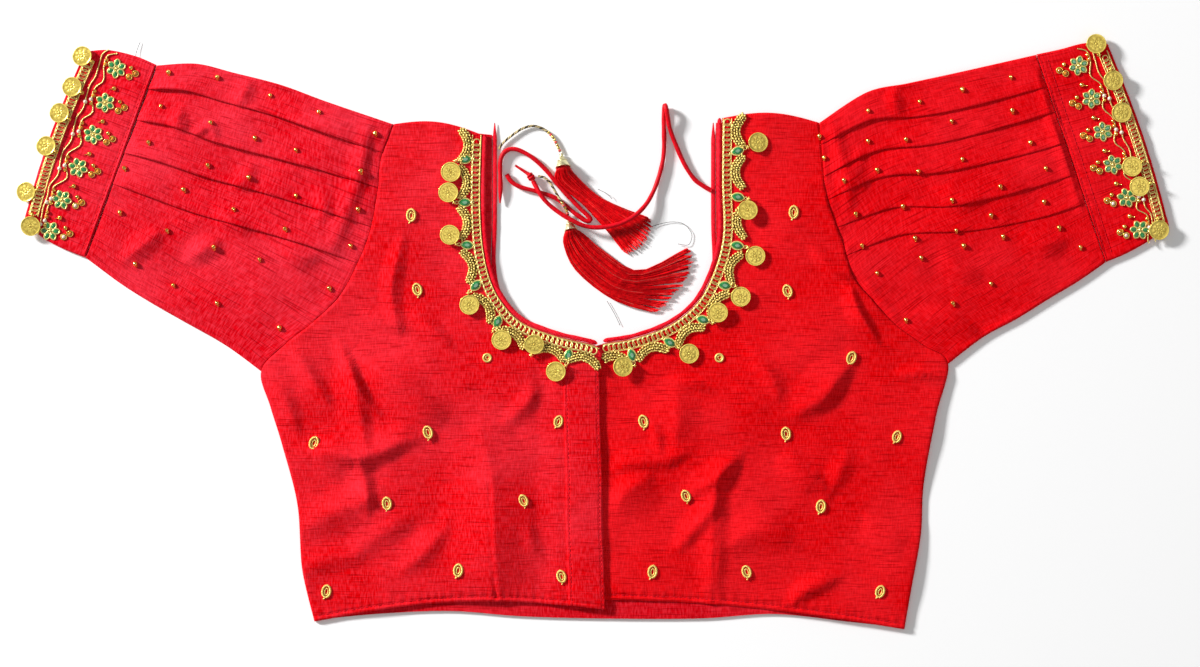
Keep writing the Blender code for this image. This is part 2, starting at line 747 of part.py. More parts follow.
def stone_setting(name, middle, turn, seat):
    """A pointed oval setting with a crowned stone, its long axis along turn."""
    rings = []
    for x, share in ((-1, 0.12), (-0.6, 0.74), (0, 1), (0.6, 0.74), (1, 0.12)):
        half = STONE_WIDTH / 2 * share
        reach = x * STONE_LENGTH / 2
        low, high = GAP, GAP + STONE_HEIGHT * 0.75
        rings.append([(reach, -half, low), (reach, half, low), (reach, half, high),
                      (reach, 0, high + STONE_HEIGHT * 0.25 * share), (reach, -half, high)])
    mesh = loft(name, rings)
    mesh.transform(Matrix.Translation(Vector((middle.x, middle.y, seat)) * MM) @ turn)
    return mesh


def charm_frame(side, seam, charm):
    """The middle, the turn and the hinge point of a neck charm's setting."""
    foot, way = at_distance(seam, charm.along)
    middle = foot + outward(side, way) * STONE_FROM_SEAM
    angle = math.radians(charm.loop_turn)
    hinge = middle + Vector((math.cos(angle), math.sin(angle))) * STONE_TO_HINGE
    seat = max(trim_seat(side, seam, spot.x, spot.y) for spot in (middle, hinge))
    return middle, angle, Vector((hinge.x, hinge.y, seat + HINGE_HEIGHT))


def fixed_ring(name, hinge, coin_turn):
    """The ring that a coin's own ring turns on. It stands across the coin's direction."""
    turn = Matrix.Rotation(math.radians(coin_turn + 90), 4, "Z")
    return round_ring(name, turn, (hinge.x, hinge.y, hinge.z - RING_RADIUS))


def neck_trim(side, gold, where, guides):
    """The chain border, its scallops and its stone settings, sewn on as one trim."""
    seam = neck_seam(side)
    route = clear_of_centre(side, beside(neck_seam(side, 20), side.sign * -CHAIN_FROM_SEAM))
    seats = [trim_seat(side, seam, point.x, point.y) for point in route]
    name = f"neck_trim_{side.name}"
    thing = place(name, strip(name, route, CHAIN_WIDTH, seats, CHAIN_HEIGHT), gold, where)
    pieces = [scallop(f"scallop_{side.name}", side, seam, along) for along in side.scallops]
    for charm in side.charms:
        middle, angle, hinge = charm_frame(side, seam, charm)
        turn = Matrix.Rotation(angle, 4, "Z")
        seat = hinge.z - HINGE_HEIGHT
        pieces.append(stone_setting(f"stone_{side.name}", middle, turn, seat))
        half = FOOT_WIDTH / 2
        ends = (STONE_LENGTH * 0.36, STONE_TO_HINGE + half)
        corners = ((ends[0], -half), (ends[1], -half), (ends[1], half), (ends[0], half))
        foot = prism(f"foot_{side.name}", corners, GAP, GAP + CHAIN_HEIGHT - 0.05)
        foot.transform(Matrix.Translation(Vector((middle.x, middle.y, seat)) * MM) @ turn)
        pieces.append(foot)
        pieces.append(fixed_ring(f"ring_{side.name}", hinge, charm.coin_turn))
    fuse(thing, pieces, guides)


def cuff_edge(side, count):
    """The open edge of a cuff, from its bottom corner to its top corner."""
    span = side.cuff[-1]
    edge = []
    for step in range(count):
        t = 0.03 + 0.94 * step / (count - 1)
        point = Vector((span.bottom_x, span.bottom_y)).lerp(Vector((span.top_x, span.top_y)), t)
        edge.append(point + Vector((-side.sign * CUFF_EDGE_BOW, 0)) * math.sin(math.pi * t))
    return edge


def cuff_trim(side, gold, where, guides):
    """The cuff's chain border with its blossoms and the rings that the coins hang on."""
    route = beside(cuff_edge(side, 11), side.sign * CUFF_CHAIN_FROM_EDGE)
    name = f"cuff_trim_{side.name}"
    thing = place(name, strip(name, route, CHAIN_WIDTH, [FRONT_TOP] * len(route), CHAIN_HEIGHT), gold, where)
    pieces = []
    for blossom in side.blossoms:
        middle = Vector(blossom)
        spokes = 12
        outline = []
        for step in range(spokes):
            angle = 2 * math.pi * (step + 0.5) / spokes
            reach = FLOWER_RADIUS if step % 2 else FLOWER_WAIST
            outline.append((middle.x + reach * math.cos(angle), middle.y + reach * math.sin(angle)))
        pieces.append(prism("blossom", outline, FRONT_TOP + GAP, FRONT_TOP + GAP + FLOWER_HEIGHT))
        near = min(route, key=lambda point: (point - middle).length)
        run = (near - middle).normalized()
        across = Vector((-run.y, run.x)) * 1.6
        start, end = middle + run * FLOWER_WAIST * 0.6, near
        corners = (start + across, start - across, end - across, end + across)
        pieces.append(prism("cluster", corners, FRONT_TOP + GAP * 1.1, FRONT_TOP + GAP + CHAIN_HEIGHT * 0.85))
    for hanger in side.hangers:
        hinge = Vector((hanger.x, hanger.y, FRONT_TOP + HINGE_HEIGHT))
        pieces.append(fixed_ring("ring", hinge, hanger.turn))
    fuse(thing, pieces, guides)


# ---------------------------------------------------------------- coins

def coin_mesh(gold, guides):
    """A coin with its ring, hanging from the origin along +X."""
    sides = 12
    outline = [(COIN_REACH + COIN_RADIUS * math.cos(2 * math.pi * (k + 0.5) / sides),
                COIN_RADIUS * math.sin(2 * math.pi * (k + 0.5) / sides)) for k in range(sides)]
    blank = place("coin_blank", prism("coin_blank", outline, -COIN_WALL / 2, COIN_WALL / 2), gold, guides)
    fuse(blank, [round_ring("coin_ring", Matrix.Identity(4), (0, 0, 0))], guides)
    bpy.context.view_layer.update()
    mesh = bpy.data.meshes.new_from_object(blank.evaluated_get(bpy.context.evaluated_depsgraph_get()))
    mesh.name = "coin"
    bpy.data.objects.remove(blank, do_unlink=True)
    return mesh


def coin_tilt(hinge, turn, support):
    """How far a coin droops from its hinge until some point of its rim meets what is under it."""
    tilt = math.radians(40)
    for step in range(24):
        around = 2 * math.pi * step / 24
        for share in (0.35, 0.7, 1.0):
            reach = COIN_REACH + COIN_RADIUS * share * math.cos(around)
            across = COIN_RADIUS * share * math.sin(around)
            x = hinge.x + reach * math.cos(turn) - across * math.sin(turn)
            y = hinge.y + reach * math.sin(turn) + across * math.cos(turn)
            drop = hinge.z - COIN_WALL / 2 - GAP - 0.1 - support(x, y)
            tilt = min(tilt, math.asin(max(-0.5, min(1.0, drop / max(reach, 1.5)))))
    return tilt


def hang_coin(name, mesh, hinge, turn, support, where):
    """A coin at its hinge, resting on what is under it."""
    coin = place(name, mesh, None, where)
    coin.location = hinge * MM
    coin.rotation_euler = (0, coin_tilt(hinge, turn, support), turn)
    return coin


def neck_support(side, seam):
    """The height under a neck coin: cloth, chain, scallop or stone."""
    stones = [charm_frame(side, seam, charm)[:2] for charm in side.charms]
    crescents = []
    for along in side.scallops:
        foot, way = at_distance(seam, along)
        crescents.append((foot + outward(side, way) * SCALLOP_FROM_SEAM, way, outward(side, way)))

    def support(x, y):
        spot = Vector((x, y))
        height = trim_seat(side, seam, x, y)
        top = height
        if min((spot - point).length for point in seam) < CHAIN_FROM_SEAM + CHAIN_WIDTH / 2 + 0.5:
            top = max(top, height + GAP + CHAIN_HEIGHT)
        for middle, way, out in crescents:
            t = (spot - middle).dot(way) / (SCALLOP_CHORD / 2)
            if abs(t) < 1.05 and abs((spot - middle).dot(out) - SCALLOP_BOW * t * t) < SCALLOP_WIDTH / 2 + 0.5:
                top = max(top, height + GAP + SCALLOP_HEIGHT)
        for middle, angle in stones:
            if (spot - middle).length < STONE_LENGTH / 2 + 0.3:
                top = max(top, height + GAP + STONE_HEIGHT)
        return top

    return support


def cuff_support(side):
    """The height under a cuff coin: the cuff's edge, its chain, a blossom or the floor."""
    route = beside(cuff_edge(side, 11), side.sign * CUFF_CHAIN_FROM_EDGE)
    edge = cuff_edge(side, 11)

    def support(x, y):
        spot = Vector((x, y))
        nearest, chain = min(zip(edge, route), key=lambda pair: (spot - pair[0]).length)
        beyond = (spot - nearest).dot((nearest - chain).normalized())
        top = FRONT_TOP if beyond < 0.8 else 0.0
        if min((spot - point).length for point in route) < CHAIN_WIDTH / 2 + 2.0:
            top = FRONT_TOP + GAP + CHAIN_HEIGHT
        if any((spot - Vector(blossom)).length < FLOWER_RADIUS + 0.3 for blossom in side.blossoms):
            top = FRONT_TOP + GAP + FLOWER_HEIGHT
        return top

    return support


def coins(gold, where, guides):
    """All the coins of the neck and of both cuffs."""
    mesh = coin_mesh(gold, guides)
    number = 0
    for side in (LEFT, RIGHT):
        seam = neck_seam(side)
        support = neck_support(side, seam)
        for charm in side.charms:
            number += 1
            _, _, hinge = charm_frame(side, seam, charm)
            hang_coin(f"neck_coin_{number:02d}", mesh, hinge, math.radians(charm.coin_turn), support, where)
    for side in (LEFT, RIGHT):
        support = cuff_support(side)
        for order, hanger in enumerate(side.hangers, 1):
            hinge = Vector((hanger.x, hanger.y, FRONT_TOP + HINGE_HEIGHT))
            hang_coin(f"cuff_coin_{side.name}_{order}", mesh, hinge, math.radians(hanger.turn), support, where)


# ---------------------------------------------------------------- ties and tassels

def turned(name, path, radii, sides):
    """A round solid about a path, one ring for each radius."""
    rings = []
    for point, way, radius in zip(path, directions(path), radii):
        across = way.cross(Vector((0, 0, 1))).normalized()
        up = across.cross(way)
        angles = [2 * math.pi * step / sides for step in range(sides)]
        rings.append([point + (across * math.cos(angle) + up * math.sin(angle)) * radius for angle in angles])
    return loft(name, rings)


def tassel_cap(name, cap):
    """A metal cone from its pointed tip to the rim at its base."""
    tip, base = Vector(cap[:3]), Vector(cap[3:6])
    path = [tip.lerp(base, share) for share in (0, 0.12, 0.5, 0.88, 1.0)]
    radii = (CAP_TIP_RADIUS, CAP_TIP_RADIUS * 1.25, cap.base_radius * 0.58, cap.base_radius, cap.base_radius)
    return turned(name, path, radii, 12)


def strands(name, rows, bulge):
    """Threads in columns and layers between a bundle's two edges."""
    line = bpy.data.curves.new(name, "CURVE")
    line.dimensions = "3D"
    line.bevel_depth = MM
    line.bevel_resolution = 0
    line.use_fill_caps = True
    last = rows[-1]
    along = (Vector((last.left_x + last.right_x, last.left_y + last.right_y))
             - Vector((rows[-2].left_x + rows[-2].right_x, rows[-2].left_y + rows[-2].right_y))).normalized()
    for layer in range(STRAND_LAYERS):
        for column in range(STRAND_COLUMNS):
            share = (column + 0.5) / STRAND_COLUMNS
            run = line.splines.new("POLY")
            run.points.add(len(rows) - 1)
            for spot, row in zip(run.points, rows):
                flat = Vector((row.left_x, row.left_y)).lerp(Vector((row.right_x, row.right_y)), share)
                if row is last:
                    uneven = 1.4 * math.sin(5.1 * column + 2.3 * layer)
                    flat += along * (bulge * math.sin(math.pi * share) + uneven)
                spot.co = (flat.x * MM, flat.y * MM, (row.low + row.step * layer) * MM, 1)
                spot.radius = row.size
    guide = bpy.data.objects.new(name, line)
    bpy.context.scene.collection.objects.link(guide)
    bpy.context.view_layer.update()
    mesh = bpy.data.meshes.new_from_object(guide.evaluated_get(bpy.context.evaluated_depsgraph_get()))
    bpy.data.objects.remove(guide, do_unlink=True)
    solid = bmesh.new()
    solid.from_mesh(mesh)
    bmesh.ops.remove_doubles(solid, verts=solid.verts, dist=1e-6)
    return mesh_from(name, solid)


def tassel(name, cap, rows, bulge, head_radius, thread, where, guides):
    """A tassel: its bound head, just past the cap, and the strands rooted in it."""
    tip, base = Vector(cap[:3]), Vector(cap[3:6])
    way = (base - tip).normalized()
    path = [base + way * reach for reach in (GAP, GAP + 0.8, GAP + 2.6, GAP + 3.6)]
    radii = (head_radius * 0.9, head_radius, head_radius, head_radius * 0.75)
    thing = place(name, turned(name, path, radii, 10), thread, where)
    fuse(thing, [strands(name + "_strands", rows, bulge)], guides)


def knot():
    """The knot on the right tie, with the cord's free end past it."""
    return turned("dori_knot", [Vector(point) for point in KNOT_ROUTE], KNOT_RADII, 8)


# ---------------------------------------------------------------- the whole blouse

def main():
    """Builds every piece in its place."""
    start_afresh()
    blouse = collection("Choli blouse")
    guides = collection("Joined pieces")
    cloth = finish("red raw silk", (0.72, 0.01, 0.015), 0.6)
    gold = finish("gold trim", (0.83, 0.62, 0.2), 0.3, 1.0)
    thread = finish("red tassel thread", (0.8, 0.01, 0.012), 0.5)

    backing = place_curve("back_panel", back(), cloth, blouse)
    backing.location.z = WALL / 2 * MM
    place("back_neck_binding", back_neck_binding(), cloth, blouse)
    place("placket", placket(), cloth, blouse)
    for side in (LEFT, RIGHT):
        place(f"front_{side.name}", front(side), cloth, blouse)
        place(f"neck_binding_{side.name}", neck_binding(side), cloth, blouse)
        place(f"sleeve_{side.name}", sleeve(side), cloth, blouse)
        place(f"cuff_{side.name}", cuff(side), cloth, blouse)
        neck_trim(side, gold, blouse, guides)
        cuff_trim(side, gold, blouse, guides)
    coins(gold, blouse, guides)

    tube("dori_right", DORI_RIGHT_ROUTE, DORI_DIAMETER, 6.0, cloth, blouse)
    tube("dori_left", DORI_LEFT_ROUTE, DORI_DIAMETER, 6.0, cloth, blouse)
    place("dori_knot", knot(), cloth, blouse)
    for number, (cap, rows, bulge, radius) in enumerate(zip(CAPS, BUNDLES, TIP_BULGE, HEAD_RADII), 1):
        place(f"tassel_cap_{number}", tassel_cap(f"tassel_cap_{number}", cap), gold, blouse)
        tassel(f"tassel_{number}", cap, rows, bulge, radius, thread, blouse, guides)
    tube("tassel_string_1", STRING_1_ROUTE, STRING_DIAMETER, 4.5, gold, blouse)
    tube("tassel_string_2", STRING_2_ROUTE, STRING_DIAMETER, 4.0, gold, blouse)


main()
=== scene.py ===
"""Dresses the choli blouse: silk, trims, coins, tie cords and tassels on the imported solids.

Tables are in millimetres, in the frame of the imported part: +X right and +Y to the neck as one
looks down at the front, +Z up. "Left" and "right" mean as seen so.
"""

from __future__ import annotations

import json
import logging
import math
from dataclasses import dataclass, field
from enum import Enum
from typing import Any, Callable, Sequence

import bpy
import numpy as np
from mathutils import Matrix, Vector

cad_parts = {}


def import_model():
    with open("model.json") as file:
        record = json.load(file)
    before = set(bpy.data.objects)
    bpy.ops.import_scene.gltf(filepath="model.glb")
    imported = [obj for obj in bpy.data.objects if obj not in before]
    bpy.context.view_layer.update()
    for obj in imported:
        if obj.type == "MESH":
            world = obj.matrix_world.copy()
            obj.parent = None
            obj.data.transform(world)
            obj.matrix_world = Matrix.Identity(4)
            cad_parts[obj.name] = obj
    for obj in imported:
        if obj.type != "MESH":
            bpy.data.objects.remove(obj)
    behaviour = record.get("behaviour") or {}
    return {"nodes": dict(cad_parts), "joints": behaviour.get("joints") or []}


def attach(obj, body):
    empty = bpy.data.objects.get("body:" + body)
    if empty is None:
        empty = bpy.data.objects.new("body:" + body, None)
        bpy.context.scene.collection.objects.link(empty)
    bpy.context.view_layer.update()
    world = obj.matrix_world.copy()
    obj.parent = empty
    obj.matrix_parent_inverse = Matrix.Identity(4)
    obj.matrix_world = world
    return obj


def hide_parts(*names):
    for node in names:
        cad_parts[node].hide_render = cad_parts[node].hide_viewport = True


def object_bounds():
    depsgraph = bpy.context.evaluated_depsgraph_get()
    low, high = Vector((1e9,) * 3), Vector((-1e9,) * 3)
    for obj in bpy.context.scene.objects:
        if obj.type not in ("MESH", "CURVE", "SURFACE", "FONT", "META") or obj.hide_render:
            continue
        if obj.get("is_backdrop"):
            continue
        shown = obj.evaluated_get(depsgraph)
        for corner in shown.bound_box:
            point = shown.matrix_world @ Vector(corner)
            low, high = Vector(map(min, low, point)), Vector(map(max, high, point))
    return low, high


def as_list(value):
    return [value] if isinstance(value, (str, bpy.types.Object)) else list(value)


MM = 0.001
LOG = logging.getLogger("choli")

Array = np.ndarray
Floats = Sequence[float]
Points = Sequence[Floats]
Piece = bpy.types.Object
Material = bpy.types.Material
Socket = bpy.types.NodeSocket
LEVEL = ((1, 0, 0), (0, 1, 0))


# ---------------------------------------------------------------- curves

def table_at(table: Points, at: Array) -> Array:
    """Rows of a table read at fractions of its length, on smooth curves through its values.

    Args:
        table: The rows, evenly spaced.
        at: Fractions from 0 to 1.

    Returns:
        One row for each fraction.
    """
    values = np.array(table, float)
    last = len(values) - 1
    reach = np.clip(np.asarray(at, float), 0, 1) * last
    first = np.clip(reach.astype(int), 0, last - 1)
    t = (reach - first)[:, None]
    before, start, end, after = (values[np.clip(first + step, 0, last)] for step in (-1, 0, 1, 2))
    return 0.5 * (2 * start + (end - before) * t + (2 * before - 5 * start + 4 * end - after) * t ** 2
                  + (3 * start - before - 3 * end + after) * t ** 3)


def distance_along(path: Array) -> Array:
    """How far along a path each of its points lies."""
    return np.r_[0, np.cumsum(np.linalg.norm(np.diff(path, axis=0), axis=1))]


def length_of(path: Array) -> float:
    """The length of a path."""
    return float(np.linalg.norm(np.diff(path, axis=0), axis=1).sum())


def run_over(x: Array, y: Array, axis: int) -> Array:
    """How far the points of a flat grid lie along its rows or columns."""
    steps = [np.diff(grid, axis=axis, prepend=grid.take([0], axis=axis)) for grid in (x, y)]
    return np.cumsum(np.hypot(*steps), axis=axis)


def read_at(at: Array, run: Array, *columns: Array) -> Array:
    """Columns of values known at distances along a path, read at other distances."""
    return np.column_stack([np.interp(at, run, column) for column in columns])


def even_path(table: Points, spacing: float, start: float = 0.0) -> Array:
    """Points at an even spacing along the smooth curve through a table of points.

    Args:
        table: The points that the curve passes.
        spacing: The distance between two points.
        start: The fraction of the table where the path starts.

    Returns:
        The points, in rows.
    """
    fine = table_at(table, np.linspace(start, 1, 60 * len(table)))
    run = distance_along(fine)
    wanted = np.linspace(0, run[-1], max(2, round(run[-1] / spacing) + 1))
    return read_at(wanted, run, *fine.T)


def travel(path: Array) -> Array:
    """The unit direction of travel at each point of a path."""
    way = np.gradient(path, axis=0)
    return way / np.maximum(np.linalg.norm(way, axis=1, keepdims=True), 1e-9)


def beside(path: Array, distance: float) -> Array:
    """A flat path moved to the left of its travel."""
    way = travel(path[:, :2])
    return path[:, :2] + np.stack([-way[:, 1], way[:, 0]], axis=1) * distance


def at_distance(path: Array, distance: float) -> tuple[Array, Array]:
    """The point and the direction of travel at a distance along an even path."""
    at = distance / length_of(path) * (len(path) - 1)
    low = min(int(at), len(path) - 2)
    way = path[low + 1] - path[low]
    return path[low] + way * (at - low), way / np.linalg.norm(way)


def heading(way: Array) -> Array:
    """The angle of each direction of travel, without jumps."""
    return np.unwrap(np.arctan2(way[:, 1], way[:, 0]))


def upright(angles: Array) -> Array:
    """Euler angles that turn only about the vertical."""
    return np.column_stack([np.zeros((len(angles), 2)), angles])


def axes_about(way: Array) -> tuple[Array, Array]:
    """Two unit directions square to a direction of travel, the first of them level."""
    across = np.cross(way, [0, 0, 1.0])
    across /= np.linalg.norm(across)
    return across, np.cross(across, way)


def flat_area(edge: Array) -> float:
    """The area inside a flat outline."""
    x, y = edge.T
    return 0.5 * abs(float(np.dot(x, np.roll(y, -1)) - np.dot(y, np.roll(x, -1))))


def bell(distance: Array | float, width: float) -> Array:
    """A smooth bump: 1 where the distance is 0, about a third a width away, and then nothing."""
    return np.exp(-(distance / width) ** 2)


def ease(value: Array | float) -> Array:
    """0 below 0, 1 above 1, and smooth between."""
    value = np.clip(value, 0, 1)
    return value * value * (3 - 2 * value)


def wobble(x: Array, y: Array, size: float, seed: float, sharp: float = 0.0) -> Array:
    """An uneven field from a few crossing waves, about -1 to 1, with flatter faces as sharp nears 1."""
    total = np.zeros_like(x, dtype=float)
    for step in range(5):
        angle = seed + 2.4 * step
        pitch = size * (0.7 + 0.23 * step)
        bend = 0.9 * np.sin((x * math.sin(angle) - y * math.cos(angle)) / (pitch * 1.7) + 1.3 * step)
        wave = np.sin((x * math.cos(angle) + y * math.sin(angle)) / pitch * 2.2 + bend + seed * step)
        total += wave if sharp == 0 else np.arcsin(sharp * wave) / math.asin(sharp)
    return total / 2.6


# ---------------------------------------------------------------- meshes

class MeshMaker:
    """Gathers the points and faces of one piece. Closed shapes are turned to face outwards."""

    def __init__(self) -> None:
        """Starts empty."""
        self.points: list[Array] = []
        self.faces: list[list[int]] = []
        self.uvs: list[Array] = []
        self.finish_of: list[int] = []
        self.count = 0

    def add(self, points: Array, faces: Array | list[list[int]], finish: int = 0,
            uv: Array | None = None, closed: bool = True) -> None:
        """Adds a shape.

        Args:
            points: Its points, in millimetres.
            faces: Rows of point numbers.
            finish: The number of its material slot.
            uv: A weave coordinate for each point, in millimetres.
            closed: Whether it encloses a volume, which sets the way its faces turn.
        """
        points = np.asarray(points, float)
        rows = [list(map(int, face)) for face in faces]
        if closed:
            centre = points.mean(axis=0)
            volume = 0.0
            for side in (3, 4):
                group = np.array([face for face in rows if len(face) == side])
                if len(group):
                    corners = points[group] - centre
                    for step in range(1, side - 1):
                        volume += np.einsum("ij,ij->i", corners[:, 0],
                                            np.cross(corners[:, step], corners[:, step + 1])).sum()
            if volume < 0:
                rows = [face[::-1] for face in rows]
        self.points.append(points)
        self.uvs.append(np.zeros((len(points), 2)) if uv is None else np.asarray(uv, float))
        self.faces += [[corner + self.count for corner in face] for face in rows]
        self.finish_of += [finish] * len(rows)
        self.count += len(points)

    def skin(self, rings: Array, around: bool, along: bool = False, caps: bool = True,
             finish: int = 0, uv: Array | None = None) -> None:
        """Adds a closed shape through rings of points.

        Args:
            rings: Points by ring and place in the ring.
            around: Whether each ring is a loop.
            along: Whether the last ring joins the first.
            caps: Whether open ends are filled.
            finish: The number of its material slot.
            uv: A weave coordinate for each point.
        """
        count, places = rings.shape[:2]
        numbers = np.arange(count * places).reshape(count, places)
        rows = np.vstack([numbers, numbers[:1]]) if along else numbers
        cells = np.hstack([rows, rows[:, :1]]) if around else rows
        faces = np.stack([cells[:-1, :-1], cells[:-1, 1:], cells[1:, 1:], cells[1:, :-1]], axis=-1)
        faces = faces.reshape(-1, 4).tolist()
        points = rings.reshape(-1, 3)
        if caps and around and not along:
            points = np.vstack([points, rings[0].mean(axis=0), rings[-1].mean(axis=0)])
            for hub, ring, flip in ((count * places, numbers[0], 1), (count * places + 1, numbers[-1], -1)):
                for one, other in zip(ring, np.roll(ring, -1)):
                    faces.append([hub, one, other][::flip])
            if uv is not None:
                uv = np.vstack([uv.reshape(-1, 2), uv[0, :1], uv[-1, :1]])
        self.add(points, faces, finish, None if uv is None else uv.reshape(-1, 2))

    def sweep(self, path: Array, radius: float | Array, sides: int = 6, flat: float = 1.0,
              looped: bool = False, finish: int = 0) -> None:
        """Adds a rod along a path.

        Args:
            path: Its middle line, in rows of x, y and z.
            radius: Its radius, or one for each point.
            sides: How many sides it has.
            flat: Its height as a share of its width.
            looped: Whether its end joins its start.
            finish: The number of its material slot.
        """
        path = np.asarray(path, float)
        if looped:
            way = np.roll(path, -1, axis=0) - np.roll(path, 1, axis=0)
            way /= np.linalg.norm(way, axis=1, keepdims=True)
        else:
            way = travel(path)
        up = np.tile([0.0, 0.0, 1.0], (len(path), 1))
        steep = np.abs(way[:, 2]) > 0.95
        up[steep] = (0.6, 0.8, 0.0)
        across = np.cross(way, up)
        across /= np.linalg.norm(across, axis=1, keepdims=True)
        up = np.cross(across, way)
        angle = 2 * np.pi * (np.arange(sides) + 0.5) / sides
        size = np.broadcast_to(np.asarray(radius, float), (len(path),))[:, None, None]
        rings = path[:, None] + size * (across[:, None] * np.cos(angle)[None, :, None]
                                        + up[:, None] * np.sin(angle)[None, :, None] * flat)
        run = distance_along(path)
        girth = 2 * np.pi * float(np.mean(radius)) * np.arange(sides) / sides
        uv = np.stack(np.meshgrid(run, girth, indexing="ij"), axis=-1)
        self.skin(rings, around=True, along=looped, finish=finish, uv=uv)

    def ring(self, radius: float, wire: float, centre: Floats, places: int = 16, sides: int = 6,
             axes: Points = LEVEL) -> None:
        """Adds a wire ring about a centre, in the plane of two directions."""
        self.sweep(ring_path(radius, places, centre, *axes), wire, sides, looped=True)

    def slab(self, top: Array, wall: float, lowest: float = 0.0) -> None:
        """Adds a cloth wall under a grid of its upper points, kept above a lowest level."""
        rows, columns = top.shape[:2]
        low = top - np.array([0.0, 0.0, wall])
        low[..., 2] = np.maximum(low[..., 2], lowest)
        numbers = np.arange(rows * columns).reshape(rows, columns)
        under = numbers + rows * columns
        upper = np.stack([numbers[:-1, :-1], numbers[:-1, 1:], numbers[1:, 1:], numbers[1:, :-1]], axis=-1)
        faces = upper.reshape(-1, 4).tolist() + (upper + rows * columns)[..., ::-1].reshape(-1, 4).tolist()
        rim = np.r_[numbers[0, :-1], numbers[:-1, -1], numbers[-1, :0:-1], numbers[:0:-1, 0]]
        for one, other in zip(rim, np.roll(rim, -1)):
            faces.append([other, one, under.flat[one], under.flat[other]])
        flat = top[..., :2].reshape(-1, 2)
        self.add(np.vstack([top.reshape(-1, 3), low.reshape(-1, 3)]), faces, uv=np.vstack([flat, flat]))

    def build(self, name: str, finishes: Sequence[Material], smooth: bool = True,
              facets: Sequence[int] = ()) -> Piece:
        """Makes the piece, with its object at the origin.

        Args:
            name: The piece's name.
            finishes: Its materials, by slot.
            smooth: Whether its faces are shaded smooth.
            facets: The slots whose faces stay flat.

        Returns:
            The finished object.
        """
        mesh = bpy.data.meshes.new(name)
        mesh.from_pydata((np.vstack(self.points) * MM).tolist(), [], self.faces)
        uvs = np.vstack(self.uvs)
        if uvs.any():
            layer = mesh.uv_layers.new(name="weave")
            corners = np.zeros(len(mesh.loops), int)
            mesh.loops.foreach_get("vertex_index", corners)
            layer.data.foreach_set("uv", (uvs[corners] * MM).ravel())
        for finish in finishes:
            mesh.materials.append(finish)
        mesh.polygons.foreach_set("material_index", self.finish_of)
        curved = [smooth and number not in facets for number in self.finish_of]
        mesh.polygons.foreach_set("use_smooth", curved)
        mesh.update()
        piece = bpy.data.objects.new(name, mesh)
        bpy.context.scene.collection.objects.link(piece)
        return piece


def ring_path(radius: float, sides: int, centre: Floats = (0, 0, 0),
              across: Floats = (1, 0, 0), up: Floats = (0, 1, 0)) -> Array:
    """A circle of points about a centre, in the plane of two directions."""
    angle = 2 * np.pi * np.arange(sides)[:, None] / sides
    return np.array(centre) + radius * (np.cos(angle) * np.array(across) + np.sin(angle) * np.array(up))


def lifted(flat: Array, height: Array | float) -> Array:
    """A flat path given its heights."""
    return np.column_stack([flat[:, :2], np.broadcast_to(height, (len(flat),))])


def twist(path: Array, radius: float, pitch: float, phase: float) -> Array:
    """One ply of a twisted cord: a helix about a path.

    Args:
        path: The cord's middle line, evenly spaced.
        radius: From the middle line to the ply's own.
        pitch: The length of one turn.
        phase: Where the ply starts, in radians.

    Returns:
        The ply's middle line.
    """
    way = travel(path)
    across = np.cross(way, [0.0, 0.0, 1.0])
    across /= np.linalg.norm(across, axis=1, keepdims=True)
    up = np.cross(across, way)
    run = distance_along(path)
    angle = (2 * np.pi * run / pitch + phase)[:, None]
    return path + radius * (across * np.cos(angle) + up * np.sin(angle))


# ---------------------------------------------------------------- repeated units

